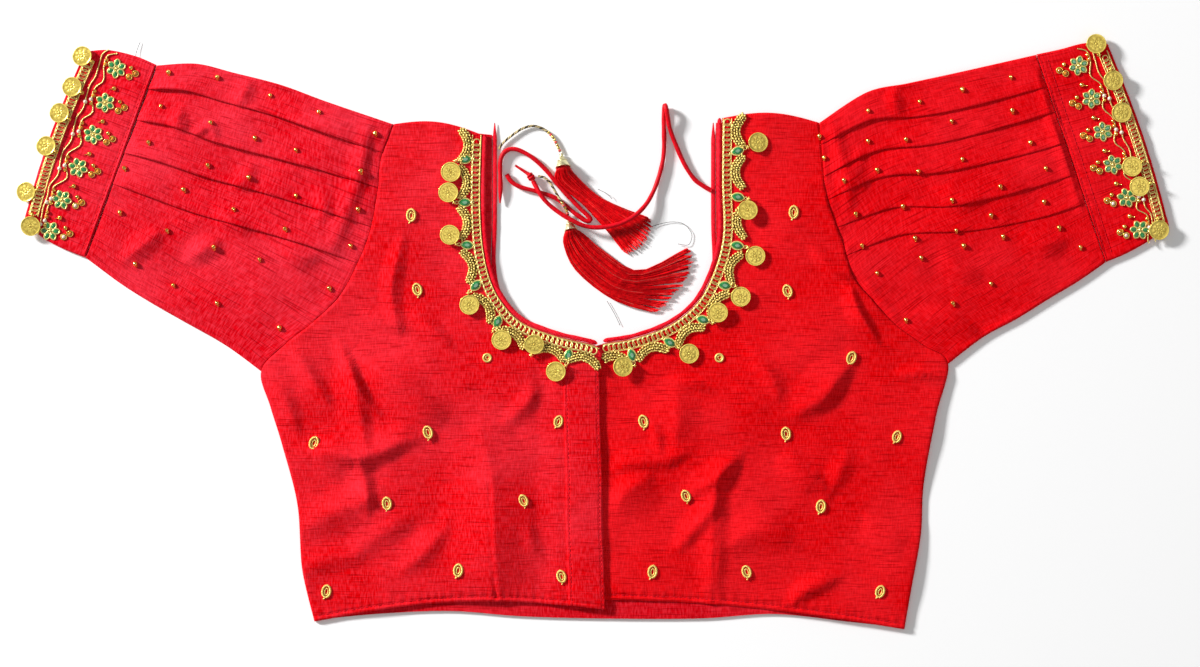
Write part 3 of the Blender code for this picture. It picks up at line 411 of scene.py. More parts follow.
@dataclass
class RepeatTool:
    """A node tree that sets one unit at each point of a mesh, turned as the point says."""

    tree: bpy.types.NodeTree = field(init=False)
    sockets: dict[str, str] = field(init=False, default_factory=dict)

    def __post_init__(self) -> None:
        """Builds the tree."""
        tree = bpy.data.node_groups.new("Repeat a unit", "GeometryNodeTree")
        kinds = (("Points", "Geometry"), ("Unit", "Object"), ("Unit size", "Float"), ("Turn jitter", "Float"),
                 ("Size jitter", "Float"), ("Seed", "Int"), ("Finish", "Material"))
        for name, kind in kinds:
            socket = tree.interface.new_socket(name, in_out="INPUT", socket_type="NodeSocket" + kind)
            self.sockets[name] = socket.identifier
        tree.interface.new_socket("Geometry", in_out="OUTPUT", socket_type="NodeSocketGeometry")

        def node(kind: str, **settings: Any) -> bpy.types.Node:
            """A node with its settings."""
            made = tree.nodes.new(kind)
            for key, value in settings.items():
                setattr(made, key, value)
            return made

        given, out = node("NodeGroupInput"), node("NodeGroupOutput")
        turn = node("GeometryNodeInputNamedAttribute", data_type="FLOAT_VECTOR")
        turn.inputs["Name"].default_value = "turn"
        unit = node("GeometryNodeObjectInfo")
        to_turn, to_jitter = node("FunctionNodeEulerToRotation"), node("FunctionNodeEulerToRotation")
        spread = node("FunctionNodeRandomValue", data_type="FLOAT_VECTOR")
        spread.inputs[0].default_value = (-1, -1, -1)
        scaled = node("ShaderNodeVectorMath", operation="SCALE")
        both = node("FunctionNodeRotateRotation", rotation_space="LOCAL")
        vary = node("FunctionNodeRandomValue", data_type="FLOAT")
        vary.inputs[2].default_value = -1  # the sockets of a float come after those of a vector
        grow = node("ShaderNodeMath", operation="MULTIPLY_ADD")
        lay = node("GeometryNodeInstanceOnPoints")
        real = node("GeometryNodeRealizeInstances")
        coat = node("GeometryNodeSetMaterial")
        for source, output, target, entry in (
                (given, "Unit", unit, "Object"), (turn, "Attribute", to_turn, "Euler"),
                (given, "Seed", spread, "Seed"), (spread, 0, scaled, 0),
                (given, "Turn jitter", scaled, "Scale"), (scaled, "Vector", to_jitter, "Euler"),
                (to_turn, "Rotation", both, "Rotation"), (to_jitter, "Rotation", both, "Rotate By"),
                (given, "Seed", vary, "Seed"), (vary, 1, grow, 0), (given, "Size jitter", grow, 1),
                (given, "Unit size", grow, 2), (given, "Points", lay, "Points"),
                (unit, "Geometry", lay, "Instance"), (both, "Rotation", lay, "Rotation"),
                (grow, 0, lay, "Scale"), (lay, "Instances", real, "Geometry"),
                (real, "Geometry", coat, "Geometry"), (given, "Finish", coat, "Material"),
                (coat, "Geometry", out, "Geometry")):
            tree.links.new(source.outputs[output], target.inputs[entry])
        self.tree = tree

    def lay(self, name: str, unit: MeshMaker, spots: Array, turns: Array, finish: Material,
            turn_jitter: float, size_jitter: float, seed: int) -> Piece:
        """Lays a unit at spots and makes the result a plain mesh.

        Args:
            name: The piece's name.
            unit: The unit's points and faces, about the origin.
            spots: Where the units go, in millimetres.
            turns: Their Euler angles.
            finish: Their material.
            turn_jitter: How far a unit may be turned at random, in radians.
            size_jitter: How far its size may vary.
            seed: The seed of what is random.

        Returns:
            The finished object.
        """
        shape = unit.build(name + "_unit", [finish])
        cloud = bpy.data.meshes.new(name)
        cloud.from_pydata((spots * MM).tolist(), [], [])
        cloud.attributes.new("turn", "FLOAT_VECTOR", "POINT").data.foreach_set("vector", turns.ravel())
        holder = bpy.data.objects.new(name, cloud)
        bpy.context.scene.collection.objects.link(holder)
        modifier = holder.modifiers.new("Repeat", "NODES")
        modifier.node_group = self.tree
        given = {"Unit": shape, "Unit size": 1.0, "Turn jitter": turn_jitter, "Size jitter": size_jitter,
                 "Seed": seed, "Finish": finish}
        for key, value in given.items():
            modifier[self.sockets[key]] = value
        bpy.context.view_layer.update()
        mesh = bpy.data.meshes.new_from_object(holder.evaluated_get(bpy.context.evaluated_depsgraph_get()))
        mesh.name = name
        for gone in (holder, shape):
            bpy.data.objects.remove(gone, do_unlink=True)
        piece = bpy.data.objects.new(name, mesh)
        bpy.context.scene.collection.objects.link(piece)
        return piece


# ---------------------------------------------------------------- finishes

class Lay(Enum):
    """What a cloth pattern follows."""

    WEAVE = "the piece's own weave coordinates"
    TABLE = "the frame's x and y"


class NodeSheet:
    """The nodes of one material, laid down with short calls."""

    def __init__(self, name: str) -> None:
        """Makes the material with its shader."""
        self.material = bpy.data.materials.new(name)
        self.material.use_nodes = True
        self.tree = self.material.node_tree
        self.shader = self.tree.nodes["Principled BSDF"]

    def node(self, kind: str, inputs: dict[Any, Any], **settings: Any) -> bpy.types.Node:
        """Adds a node.

        Args:
            kind: Its type, without the ShaderNode in front.
            inputs: Values or sockets by input name or number.
            settings: The node's own properties.

        Returns:
            The node.
        """
        made = self.tree.nodes.new("ShaderNode" + kind)
        for key, value in settings.items():
            setattr(made, key, value)
        self.fill(made, inputs)
        return made

    def fill(self, node: bpy.types.Node, inputs: dict[Any, Any]) -> None:
        """Sets or links a node's inputs."""
        for key, value in inputs.items():
            if isinstance(value, Socket):
                self.tree.links.new(value, node.inputs[key])
            else:
                node.inputs[key].default_value = value

    def noise(self, vector: Socket, stretch: Floats, detail: float) -> Socket:
        """A noise whose grain has its own size along each axis, in grains a metre."""
        mapped = self.node("Mapping", {"Vector": vector, "Scale": stretch})
        texture = self.node("TexNoise", {"Vector": mapped.outputs[0], "Scale": 1.0, "Detail": detail})
        return texture.outputs["Fac"]

    def between(self, value: Socket, low: float, high: float, out_low: float = 0.0,
                out_high: float = 1.0) -> Socket:
        """A value stretched from one range to another."""
        inputs = {"Value": value, "From Min": low, "From Max": high, "To Min": out_low, "To Max": out_high}
        return self.node("MapRange", inputs).outputs[0]

    def blend(self, share: Socket, one: Any, other: Any) -> Socket:
        """A mix of two colours."""
        return self.node("Mix", {0: share, 6: one, 7: other}, data_type="RGBA").outputs[2]

    def add(self, one: Any, other: Any) -> Socket:
        """The sum of two values."""
        return self.node("Math", {0: one, 1: other}, operation="ADD").outputs[0]

    def times(self, one: Any, other: Any) -> Socket:
        """The product of two values."""
        return self.node("Math", {0: one, 1: other}, operation="MULTIPLY").outputs[0]

    def bump(self, height: Socket, distance: float, strength: float = 1.0) -> None:
        """Gives the shader a bump of a depth in millimetres."""
        made = self.node("Bump", {"Height": height, "Distance": distance * MM, "Strength": strength})
        self.fill(self.shader, {"Normal": made.outputs[0]})


def rgba(colour: Floats) -> tuple[float, float, float, float]:
    """A linear colour with full alpha, from sRGB values of 0 to 255."""
    parts = [value / 255 for value in colour]
    return (*(part / 12.92 if part < 0.04 else ((part + 0.055) / 1.055) ** 2.4 for part in parts), 1.0)


@dataclass(frozen=True)
class RawSilk:
    """Raw silk: fine threads across with thicker slubs, a soft sheen from the shader, and broad pink patches
    of painted sheen.
    """

    name: str
    red: Floats = (224, 2, 10)
    shade: Floats = (150, 0, 2)
    # The pink of the lighter threads, and of the patches of painted sheen.
    pink_threads_and_sheen: Floats = (248, 52, 68)
    lay: Lay = Lay.WEAVE
    turn: float = 0.0

    def make(self) -> Material:
        """Builds the material."""
        sheet = NodeSheet(self.name)
        if self.lay is Lay.WEAVE:
            where = sheet.node("UVMap", {}, uv_map="weave").outputs["UV"]
        else:
            where = sheet.node("TexCoord", {}).outputs["Object"]
        if self.turn:
            where = sheet.node("Mapping", {"Vector": where, "Rotation": (0, 0, self.turn)}).outputs[0]
        threads = sheet.noise(where, (120, 1100, 1), 1.0)
        slubs = sheet.noise(where, (40, 1050, 1), 1.0)
        warp = sheet.noise(where, (1100, 200, 1), 1.0)
        painted_sheen_patches = sheet.noise(where, (15, 18, 1), 3.0)
        dark = sheet.between(slubs, 0.6, 0.68)
        light = sheet.between(slubs, 0.36, 0.22)
        fine = sheet.between(threads, 0.35, 0.65)
        cross = sheet.between(warp, 0.4, 0.7)
        # The broad patches blend towards the pink: painted sheen, lighter pink where light would catch the
        # silk.
        soft = sheet.between(painted_sheen_patches, 0.42, 0.62)
        # The pink tone serves both the pink threads and the painted sheen patches.
        colour = rgba(self.red)
        for mask, strength, tone in ((soft, 0.45, self.pink_threads_and_sheen), (light, 0.5, self.pink_threads_and_sheen),
                                     (fine, 0.42, self.shade), (cross, 0.48, self.pink_threads_and_sheen),
                                     (dark, 0.6, self.shade)):
            colour = sheet.blend(sheet.times(mask, strength), colour, rgba(tone))
        height = sheet.add(sheet.times(fine, 0.5), sheet.times(cross, 0.5))
        rough = sheet.between(threads, 0.3, 0.7, 0.52, 0.66)
        sheet.fill(sheet.shader, {"Base Color": colour, "Roughness": rough, "Specular IOR Level": 0.01,
                                  "Sheen Weight": 0.1, "Sheen Roughness": 0.4,
                                  "Sheen Tint": rgba((255, 84, 96))})
        sheet.bump(height, 0.12, 0.7)
        return sheet.material


@dataclass(frozen=True)
class Thread:
    """Twisted thread or cord, with its plies across it."""

    name: str
    colour: Floats
    shade: Floats
    roughness: float = 0.5
    metallic: float = 0.0
    grain: float = 1400.0

    def make(self) -> Material:
        """Builds the material."""
        sheet = NodeSheet(self.name)
        where = sheet.node("TexCoord", {}).outputs["Object"]
        grain = sheet.noise(where, (self.grain,) * 3, 2.0)
        broad = sheet.noise(where, (120,) * 3, 2.0)
        share = sheet.between(sheet.add(grain, sheet.times(broad, 0.6)), 0.55, 1.05)
        sheet.fill(sheet.shader, {"Base Color": sheet.blend(share, rgba(self.shade), rgba(self.colour)),
                                  "Roughness": self.roughness, "Metallic": self.metallic,
                                  "Specular IOR Level": 0.12})
        sheet.bump(grain, 0.08, 0.6)
        return sheet.material


@dataclass(frozen=True)
class Metal:
    """Plated metal, darker in its hollows and paler on its edges, as the surface's pointiness gives."""

    name: str
    colour: Floats
    shade: Floats
    roughness: float = 0.3
    metallic: float = 1.0
    grain: float = 900.0
    depth: float = 0.05

    def make(self) -> Material:
        """Builds the material."""
        sheet = NodeSheet(self.name)
        where = sheet.node("TexCoord", {}).outputs["Object"]
        grain = sheet.noise(where, (self.grain,) * 3, 3.0)
        edge = sheet.node("NewGeometry", {}).outputs["Pointiness"]
        # Darker where the surface is hollow and paler where it is sharp, read from pointiness.
        share = sheet.add(sheet.between(edge, 0.44, 0.53), sheet.between(grain, 0.3, 0.7, -0.2, 0.2))
        sheet.fill(sheet.shader, {
            "Base Color": sheet.blend(share, rgba(self.shade), rgba(self.colour)),
            "Roughness": sheet.between(grain, 0.3, 0.7, self.roughness - 0.06, self.roughness + 0.1),
            "Metallic": self.metallic})
        sheet.bump(grain, self.depth, 0.7)
        return sheet.material


@dataclass(frozen=True)
class Gem:
    """A glassy stone or bead."""

    name: str
    colour: Floats
    glint: Floats
    roughness: float = 0.06
    coat: float = 1.0

    def make(self) -> Material:
        """Builds the material."""
        sheet = NodeSheet(self.name)
        facing = sheet.node("LayerWeight", {"Blend": 0.35}).outputs["Facing"]
        where = sheet.node("TexCoord", {}).outputs["Object"]
        spark = sheet.between(sheet.noise(where, (700,) * 3, 1.0), 0.45, 0.7)
        share = sheet.times(sheet.add(facing, spark), 0.5)
        sheet.fill(sheet.shader, {"Base Color": sheet.blend(share, rgba(self.colour), rgba(self.glint)),
                                  "Roughness": self.roughness, "Coat Weight": self.coat, "IOR": 1.6,
                                  "Specular IOR Level": 0.8})
        return sheet.material


@dataclass(frozen=True)
class Finishes:
    """All the materials of the blouse."""

    bodies: dict[str, Material]
    sleeves: dict[str, Material]
    inside: Material
    piping: Material
    stitch: Material
    zari: Material
    purl: Material
    bed: Material
    coin: Material
    bead: Material
    amber: Material
    pearl: Material
    emerald: Material
    cord: Material
    tassel: Material
    glint: Material
    pale: Material
    black: Material
    cap: Material
    pale_gold: Material

    @classmethod
    def make(cls) -> Finishes:
        """Builds every material."""
        return cls(
            bodies={"left": RawSilk("bright red raw silk").make(),
                    "right": RawSilk("fuller red raw silk", (224, 2, 6), pink_threads_and_sheen=(246, 36, 46)).make()},
            sleeves={"left": RawSilk("sleeve raw silk", (218, 2, 18), (148, 0, 8), (250, 62, 82)).make(),
                     "right": RawSilk("fuller sleeve raw silk", (222, 2, 8), pink_threads_and_sheen=(246, 34, 46)).make()},
            inside=RawSilk("red silk, inside", (206, 0, 14), (150, 0, 6), lay=Lay.TABLE).make(),
            piping=RawSilk("piping silk", (228, 12, 34), (168, 0, 14), lay=Lay.TABLE, turn=0.8).make(),
            stitch=Thread("sewing thread", (226, 22, 44), (186, 6, 22), 0.6).make(),
            zari=Metal("gold chain", (246, 226, 140), (150, 100, 30), 0.3, 0.5).make(),
            purl=Metal("gold purl", (240, 212, 116), (124, 84, 24), 0.4, 0.45, 1500, 0.08).make(),
            # The crescents' bed is dark brown as painted shade: it darkens the gaps between the purl chips.
            bed=Thread("dark gold bed", (120, 84, 22), (70, 42, 10), 0.6).make(),
            coin=Metal("stamped pale gold", (244, 220, 104), (160, 118, 28), 0.25, 0.45, 500, 0.03).make(),
            bead=Metal("gold bead", (248, 212, 110), (150, 86, 10), 0.2, 1.0, 400, 0.02).make(),
            amber=Gem("amber bead", (196, 112, 22), (250, 196, 70)).make(),
            pearl=Gem("pearl bead", (232, 214, 190), (255, 250, 240), 0.18).make(),
            emerald=Gem("green stone", (4, 104, 46), (40, 178, 96)).make(),
            cord=Thread("red tie cord", (222, 8, 30), (178, 2, 16), 0.42, grain=900).make(),
            tassel=Thread("red tassel thread", (244, 14, 22), (190, 0, 10), 0.34, grain=600).make(),
            # The glint finish is a pale tone. On the tassels' upper strands it is painted glints; it also
            # colours one bead in three on the strings.
            glint=Thread("pale tassel thread", (246, 110, 100), (226, 44, 44), 0.3).make(),
            pale=Thread("pale gold thread", (226, 208, 160), (150, 128, 84), 0.45, 0.2).make(),
            black=Thread("black thread", (34, 26, 22), (8, 6, 6), 0.6).make(),
            cap=Metal("pale gold cap", (232, 224, 176), (150, 132, 70), 0.3).make(),
            pale_gold=Metal("pale gold cord", (240, 222, 140), (168, 128, 50), 0.36, 0.85, 1200, 0.05).make())


# ---------------------------------------------------------------- cloth

@dataclass(frozen=True)
class Crease:
    """A fold line with its height and how far it falls away on each side of its travel."""

    points: Points
    height: float
    left: float
    right: float
    round_over: float = 0.7

    def rise(self, x: Array, y: Array) -> Array:
        """How far the fold lifts the cloth at each place."""
        line = even_path(self.points, 2.5)
        way = travel(line)
        nearest = np.full(x.shape, 1e9)
        along, side = np.zeros(x.shape), np.zeros(x.shape)
        for step, (point, run) in enumerate(zip(line, way)):
            gap_x, gap_y = x - point[0], y - point[1]
            distance = gap_x * gap_x + gap_y * gap_y
            closer = distance < nearest
            nearest = np.where(closer, distance, nearest)
            along = np.where(closer, step / (len(line) - 1), along)
            side = np.where(closer, run[0] * gap_y - run[1] * gap_x, side)
        fade = np.sin(np.pi * np.clip(along * 0.92 + 0.04, 0, 1)) ** 0.7
        spread = np.where(side > 0, self.left, self.right) * (0.45 + 0.55 * fade)
        distance = np.sqrt(nearest + self.round_over ** 2) - self.round_over
        return self.height * fade * np.clip(1 - distance / spread, 0, 1) ** 1.3


@dataclass
class Surface:
    """The upper face of a cloth piece, kept so that trims can be laid on it."""

    points: Array
    neighbours: int = 4

    def height(self, flat: Array) -> Array:
        """The cloth's height under each of some flat points."""
        cloud = self.points.reshape(-1, 3)
        found = []
        for spot in np.atleast_2d(flat)[:, :2]:
            gaps = ((cloud[:, :2] - spot) ** 2).sum(axis=1)
            near = np.argpartition(gaps, self.neighbours)[:self.neighbours]
            weight = 1 / (gaps[near] + 0.01)
            found.append((cloud[near, 2] * weight).sum() / weight.sum())
        return np.array(found)

    def under(self, spot: Floats) -> float:
        """The cloth's height under one flat point."""
        return float(self.height(np.array(spot))[0])


WALL = 1.2
GAP = 0.3
FRONT_WALL = 1.0
FRONT_TOP = 2 * WALL + GAP
PLACKET_WALL = 1.0
PLACKET_WIDTH = 24.0
PLACKET_RISE = (-44.0, -31.0)
SEAT_RISES = ((-50.0, -38.0), (-36.0, -26.0))
BINDING_WIDTH = 3.0
CUFF_EDGE_BOW = -3.0
UNDERARM_ROW = 5
SHOULDER_BOW = 5.0


@dataclass(frozen=True)
class Side:
    """The tables of one half of the blouse.

    All are in millimetres, but for the pleats, which are shares of the sleeve's width at its armhole,
    its middle and its cuff. Calm says how far from the centre front the creases begin, and over what
    width they come up. Scallops and charms start with their distance along the neck seam from the
    centre front.
    """

    name: str
    sign: int
    centre_clear: float
    calm: Floats
    hem_bow: float
    rows: Points
    creases: tuple[Crease, ...]
    dart: Points
    butis: Points
    small_ring: Floats
    sleeve: Points
    pleats: Points
    pleat_heights: Floats
    gape: float
    sleeve_creases: tuple[Crease, ...]
    cuff: Points
    cuff_seams: Floats
    cuff_welt: float
    beads: Points
    scallops: Floats
    charms: Points
    hangers: Points
    blossoms: Points


LEFT = Side(
    name="left", sign=-1, centre_clear=3.2, calm=(36.0, 14.0), hem_bow=9.0,
    rows=((-191, -90, 1, -82), (-199, -55, 0, -50), (-202, -13, -1, -10), (-212, 26, -2, 25),
        (-220, 52, -3, 55), (-226, 75, -3, 78), (-211, 92, -3, 90.5), (-191, 108, -31, 98.3),
        (-174, 125, -54, 107.5), (-162, 147, -68, 122), (-154, 168, -76, 139.5), (-149, 195, -80.3, 164),
        (-147, 215, -81.3, 195), (-139, 238, -80.3, 231)),
    creases=(
        Crease(((-192, 22), (-180, 24), (-163, 18), (-147, 22), (-134, 28), (-122, 30)), 3.4, 20, 8),
        Crease(((-192, 20), (-178, 19), (-164, 15)), 2.4, 10, 17),
        Crease(((-199, -29), (-180, -19), (-160, -11), (-144, -5)), 3.0, 15, 20),
        Crease(((-161, 17), (-157, 2), (-155, -17)), 2.4, 7, 15),
        Crease(((-170, 82), (-166, 70), (-162, 54), (-156, 23)), 2.4, 8, 17),
        Crease(((-165, 90), (-151, 79), (-132, 65), (-116, 53), (-102, 44)), 3.6, 16, 28),
        Crease(((-174, 93), (-166, 75), (-159, 60), (-147, 45)), 2.2, 5, 9),
        Crease(((-160, 115), (-146, 109), (-131, 102)), 1.4, 6, 7),
        Crease(((-127, 116), (-115, 105), (-101, 92)), 1.5, 7, 8),
        Crease(((-82, 42), (-77, 18), (-74, -14), (-73, -73)), 3.0, 30, 36),
        Crease(((-38, 74), (-50, 55), (-66, 40)), 1.6, 8, 9),
        Crease(((-52, -26), (-41, -42), (-28, -58)), 1.6, 5, 10),
        Crease(((-165, -46), (-146, -31), (-125, -20)), 2.0, 18, 12),
        Crease(((-134, -57), (-116, -42), (-103, -24)), 1.8, 12, 9),
        Crease(((-220, 70), (-210, 57), (-202, 36)), 1.8, 8, 14),
        Crease(((-205, 90), (-193, 72), (-180, 53)), 2.0, 7, 9),
        Crease(((-199, -56), (-180, -49), (-157, -47)), 1.5, 14, 10),
        Crease(((-133, 162), (-140, 129), (-135, 102)), 1.6, 8, 9)),
    dart=((-77, 19), (-75, 0), (-74, -35), (-71, -75)),
    butis=((-127, 178), (-123, 129), (-191, 28), (-116, 35), (-143, -12), (-30, 42), (-53, -10), (-96, -56),
        (-183, -70), (-28, -60)),
    small_ring=(-77, 84),
    sleeve=((-226, 75, -139, 238), (-250, 92.5, -183, 253), (-279, 109, -213, 264), (-300, 121, -244, 272),
        (-319, 133, -269, 278), (-341.7, 149.9, -294.7, 276.8)),
    pleats=((0.50, 0.42, 0.39), (0.64, 0.57, 0.55), (0.76, 0.71, 0.72), (0.90, 0.88, 0.88)),
    pleat_heights=(1.5, 1.7, 1.8, 1.6), gape=1.0,
    sleeve_creases=(
        Crease(((-155, 240), (-158, 220), (-164, 196), (-179, 154)), 1.4, 7, 10),
        Crease(((-270, 230), (-260, 236), (-255, 229)), 1.1, 6, 4),
        Crease(((-233, 270), (-237, 259), (-242, 251)), 1.1, 8, 8),
        Crease(((-254, 182), (-246, 174), (-234, 167)), 1.2, 9, 9),
        Crease(((-253, 162), (-263, 156), (-275, 148)), 1.4, 10, 10),
        Crease(((-316, 149), (-304, 158), (-292, 167)), 1.4, 10, 10),
        Crease(((-214, 160), (-200, 150), (-187, 152)), 1.2, 11, 9),
        Crease(((-190, 196), (-184, 185), (-189, 174)), 1.1, 8, 8),
        Crease(((-278, 248), (-281, 240), (-274, 235)), 1.2, 8, 7),
        Crease(((-231, 212), (-237, 202), (-245, 195)), 1.0, 9, 8)),
    cuff=((-342.1, 150.1, -295.2, 277.2), (-358, 156.5, -309, 283), (-372, 164.5, -327, 287),
        (-382, 176, -342, 286)),
    cuff_seams=(3.4,), cuff_welt=0.8,
    beads=((-287, 272), (-255, 269), (-220, 257), (-188, 246), (-151, 232), (-292, 250), (-259, 239),
        (-230, 229), (-203, 221), (-160, 207), (-300, 226), (-261, 211), (-234, 203), (-203, 191),
        (-162, 182), (-316, 209), (-277, 195), (-244, 182), (-210, 169), (-167, 158), (-288, 168),
        (-257, 157), (-227, 149), (-181, 130), (-309, 146), (-284, 132), (-255, 120), (-214, 104),
        (-319, 180)),
    scallops=(8, 30, 54, 76, 101, 128, 154, 178),
    charms=((169, -170, -110), (141, 180, 120), (114, 175, 125), (89, -135, -85), (65, -115, -45),
        (42, -100, 75), (19, -105, -150)),
    hangers=((-337.3, 279.0, 150), (-343.9, 258.7, 150), (-352.4, 241.2, 147), (-361.0, 219.8, 150),
        (-373.6, 194.6, 190), (-376.6, 178.2, 262)),
    blossoms=((-321.4, 274.6), (-328.7, 252.1), (-336.6, 231.0), (-346.5, 209.2), (-357.1, 188.1),
        (-365.0, 167.6)),
)
RIGHT = Side(
    name="right", sign=1, centre_clear=-1.0, calm=(1.0, 12.0), hem_bow=5.0,
    rows=((198, -95, -22, -75), (203, -66, -22, -45), (209, -32, -22, -10), (211, 2, -22, 25),
        (219, 46, -22, 52), (227, 80, -22, 72), (211, 92, -8, 90.5), (191, 107, 20, 96.8),
        (176, 123, 44, 106), (164, 138, 62, 121), (157, 161, 73, 143), (147, 189, 78.3, 166),
        (144, 216, 77.6, 200), (142, 239, 78, 242)),
    creases=(
        Crease(((163, 80), (154, 70), (145, 58), (134, 51), (124, 45)), 2.8, 9, 22),
        Crease(((119, 23), (130, 12), (142, 4), (147, -4)), 2.2, 4, 18),
        Crease(((87, 17), (77, 4), (74, -23), (73, -78)), 1.8, 9, 13),
        Crease(((56, -6), (68, 0), (80, 11), (89, 18)), 2.4, 14, 8),
        Crease(((48, -43), (59, -30), (71, -14), (75, -3)), 2.0, 12, 7),
        Crease(((1, 12), (14, 13), (27, 15), (42, 16), (57, 23)), 2.4, 13, 6),
        Crease(((3, -15), (16, -2), (33, 8)), 2.6, 10, 26),
        Crease(((26, 79), (44, 71), (59, 67), (72, 64)), 1.8, 6, 6),
        Crease(((31, 42), (35, 32), (37, 22)), 1.2, 4, 5),
        Crease(((123, -78), (134, -69), (154, -61)), 2.2, 10, 7),
        Crease(((193, 73), (209, 73), (223, 71)), 1.6, 7, 4),
        Crease(((161, 22), (153, 3), (147, -8)), 1.4, 10, 10),
        Crease(((80, -42), (101, -30), (124, -39)), 1.8, 16, 16),
        Crease(((171, -18), (183, -30), (200, -39)), 1.6, 14, 18),
        Crease(((46, 65), (49, 43), (46, 26)), 2.0, 16, 22),
        Crease(((162, 131), (168, 114), (180, 96)), 2.4, 5, 10),
        Crease(((137, 155), (151, 143), (166, 138)), 1.4, 7, 7),
        Crease(((93, 89), (108, 75), (117, 55)), 1.4, 9, 8)),
    dart=((88, 18), (77, 3), (74, -24), (72, -77)),
    butis=((125, 180), (121, 128), (163, 84), (26, 42), (120, 34), (193, 32), (54, -7), (143, -14), (32, -57),
        (94, -57), (182, -70)),
    small_ring=(76, 84),
    sleeve=((227, 80, 142, 239), (250, 97.5, 173, 259), (272, 109.5, 200, 265), (293, 122.5, 228, 271),
        (313, 134.5, 257, 277.5), (330.7, 146.8, 284.8, 283.8)),
    pleats=((0.58, 0.38, 0.29), (0.67, 0.50, 0.43), (0.75, 0.64, 0.58), (0.82, 0.75, 0.73),
        (0.92, 0.86, 0.85)),
    pleat_heights=(0.6, 0.7, 0.8, 0.8, 0.8), gape=0.9,
    sleeve_creases=(
        Crease(((150, 239), (155, 220), (160, 200), (162, 179)), 1.4, 8, 9),
        Crease(((168, 138), (178, 122), (195, 104)), 1.5, 7, 10),
        Crease(((212, 116), (229, 110), (248, 100)), 1.5, 5, 12),
        Crease(((193, 263), (191, 255), (195, 244)), 1.0, 8, 7),
        Crease(((224, 157), (232, 144), (250, 138)), 1.0, 12, 10),
        Crease(((286, 273), (293, 248), (305, 210), (315, 180)), 0.9, 7, 6),
        Crease(((219, 195), (234, 187), (250, 190)), 0.9, 8, 8),
        Crease(((275, 167), (292, 159), (304, 163)), 1.1, 11, 11),
        Crease(((169, 220), (166, 205), (171, 192)), 0.9, 8, 8)),
    cuff=((331.1, 147.1, 285.2, 284.1), (345, 153, 301, 287.5), (360, 161.5, 317, 291.5),
        (372.5, 171, 332, 291)),
    cuff_seams=(2.2, 6.4), cuff_welt=0.0,
    beads=((142, 230), (145, 216), (174, 247), (208, 253), (236, 261), (268, 269), (174, 227), (199, 228),
        (229, 240), (269, 247), (158, 201), (180, 208), (207, 207), (236, 215), (281, 226), (166, 179),
        (197, 184), (229, 188), (261, 197), (291, 209), (170, 158), (205, 163), (232, 168), (255, 178),
        (290, 187), (180, 140), (209, 150), (237, 158), (263, 164), (300, 170), (230, 120), (255, 133),
        (199, 109), (314, 157)),
    scallops=(12, 37, 61, 83, 107, 134, 167, 194),
    charms=((25, -75, -175), (49, -30, -30), (72, -15, 65), (95, -5, -65), (120, -10, -50), (150, -10, -95),
        (181, 20, 25)),
    hangers=((326.0, 283.6, 103), (333.4, 274.0, 285), (340.6, 253.1, 272), (354.6, 213.2, 205),
        (359.9, 199.0, 197), (364.6, 175.6, 278)),
    blossoms=((312.8, 276.5), (321.4, 254.8), (328.7, 233.0), (335.3, 211.2), (344.5, 189.4), (353.1, 168.3)),
)
BACK_NECK_HALF = ((0, 86), (30, 90), (56, 103), (70, 124), (74.5, 145), (73.9, 175), (73.9, 239))
BACK_LEFT_SHOULDER = 233.0
BACK_HEM = ((-190.5, -89), (-150, -85), (-102, -83), (-55, -86.5), (-1, -88), (63, -88), (112, -85),
    (160, -90), (197, -94))


def ramp(value: Array, start: float, end: float) -> Array:
    """How far values have come from start to end, from 0 to 1."""
    return np.clip((value - start) / (end - start), 0, 1)


def clustered(parts: Sequence[tuple[float, int]]) -> Array:
    """Fractions from 0 to 1 in runs, each given by its end and its number of steps."""
    made, start = [0.0], 0.0
    for end, count in parts:
        made += [start + (end - start) * (step + 1) / count for step in range(count)]
        start = end
    return np.array(made)


def neck_seam(side: Side, spacing: float = 5.0) -> Array:
    """The seam of a front's neck edge, from the centre front to the shoulder."""
    return even_path([row[2:] for row in side.rows], spacing, (UNDERARM_ROW + 1) / (len(side.rows) - 1))


def clear_of_centre(side: Side, path: Array) -> Array:
    """A path from the centre front to the shoulder without what is too near the centre."""
    return path[path[:, 0] * side.sign > side.centre_clear]


def nearest_on(line: Array, x: Array, y: Array) -> tuple[Array, Array]:
    """The distance of each place from the nearest point of a line, and that point's number."""
    gap, nearest = np.full(x.shape, 1e9), np.zeros(x.shape, int)
    for number, point in enumerate(line):
        distance = np.hypot(x - point[0], y - point[1])
        nearest = np.where(distance < gap, number, nearest)
        gap = np.minimum(gap, distance)
    return gap, nearest


def to_seam(side: Side, x: Array, y: Array) -> Array:
    """The distance of each place from the neck seam."""
    return nearest_on(neck_seam(side, 3.0), x, y)[0]


def trim_seat(side: Side, x: Array) -> Array:
    """The height that the neck trim stands on: the front, or the placket on it."""
    x = np.asarray(x, float)
    if side.sign > 0:
        return np.full(x.shape, FRONT_TOP)
    first, second = SEAT_RISES
    return FRONT_TOP + (WALL + GAP) * ramp(x, *first) + (PLACKET_WALL + GAP) * ramp(x, *second)


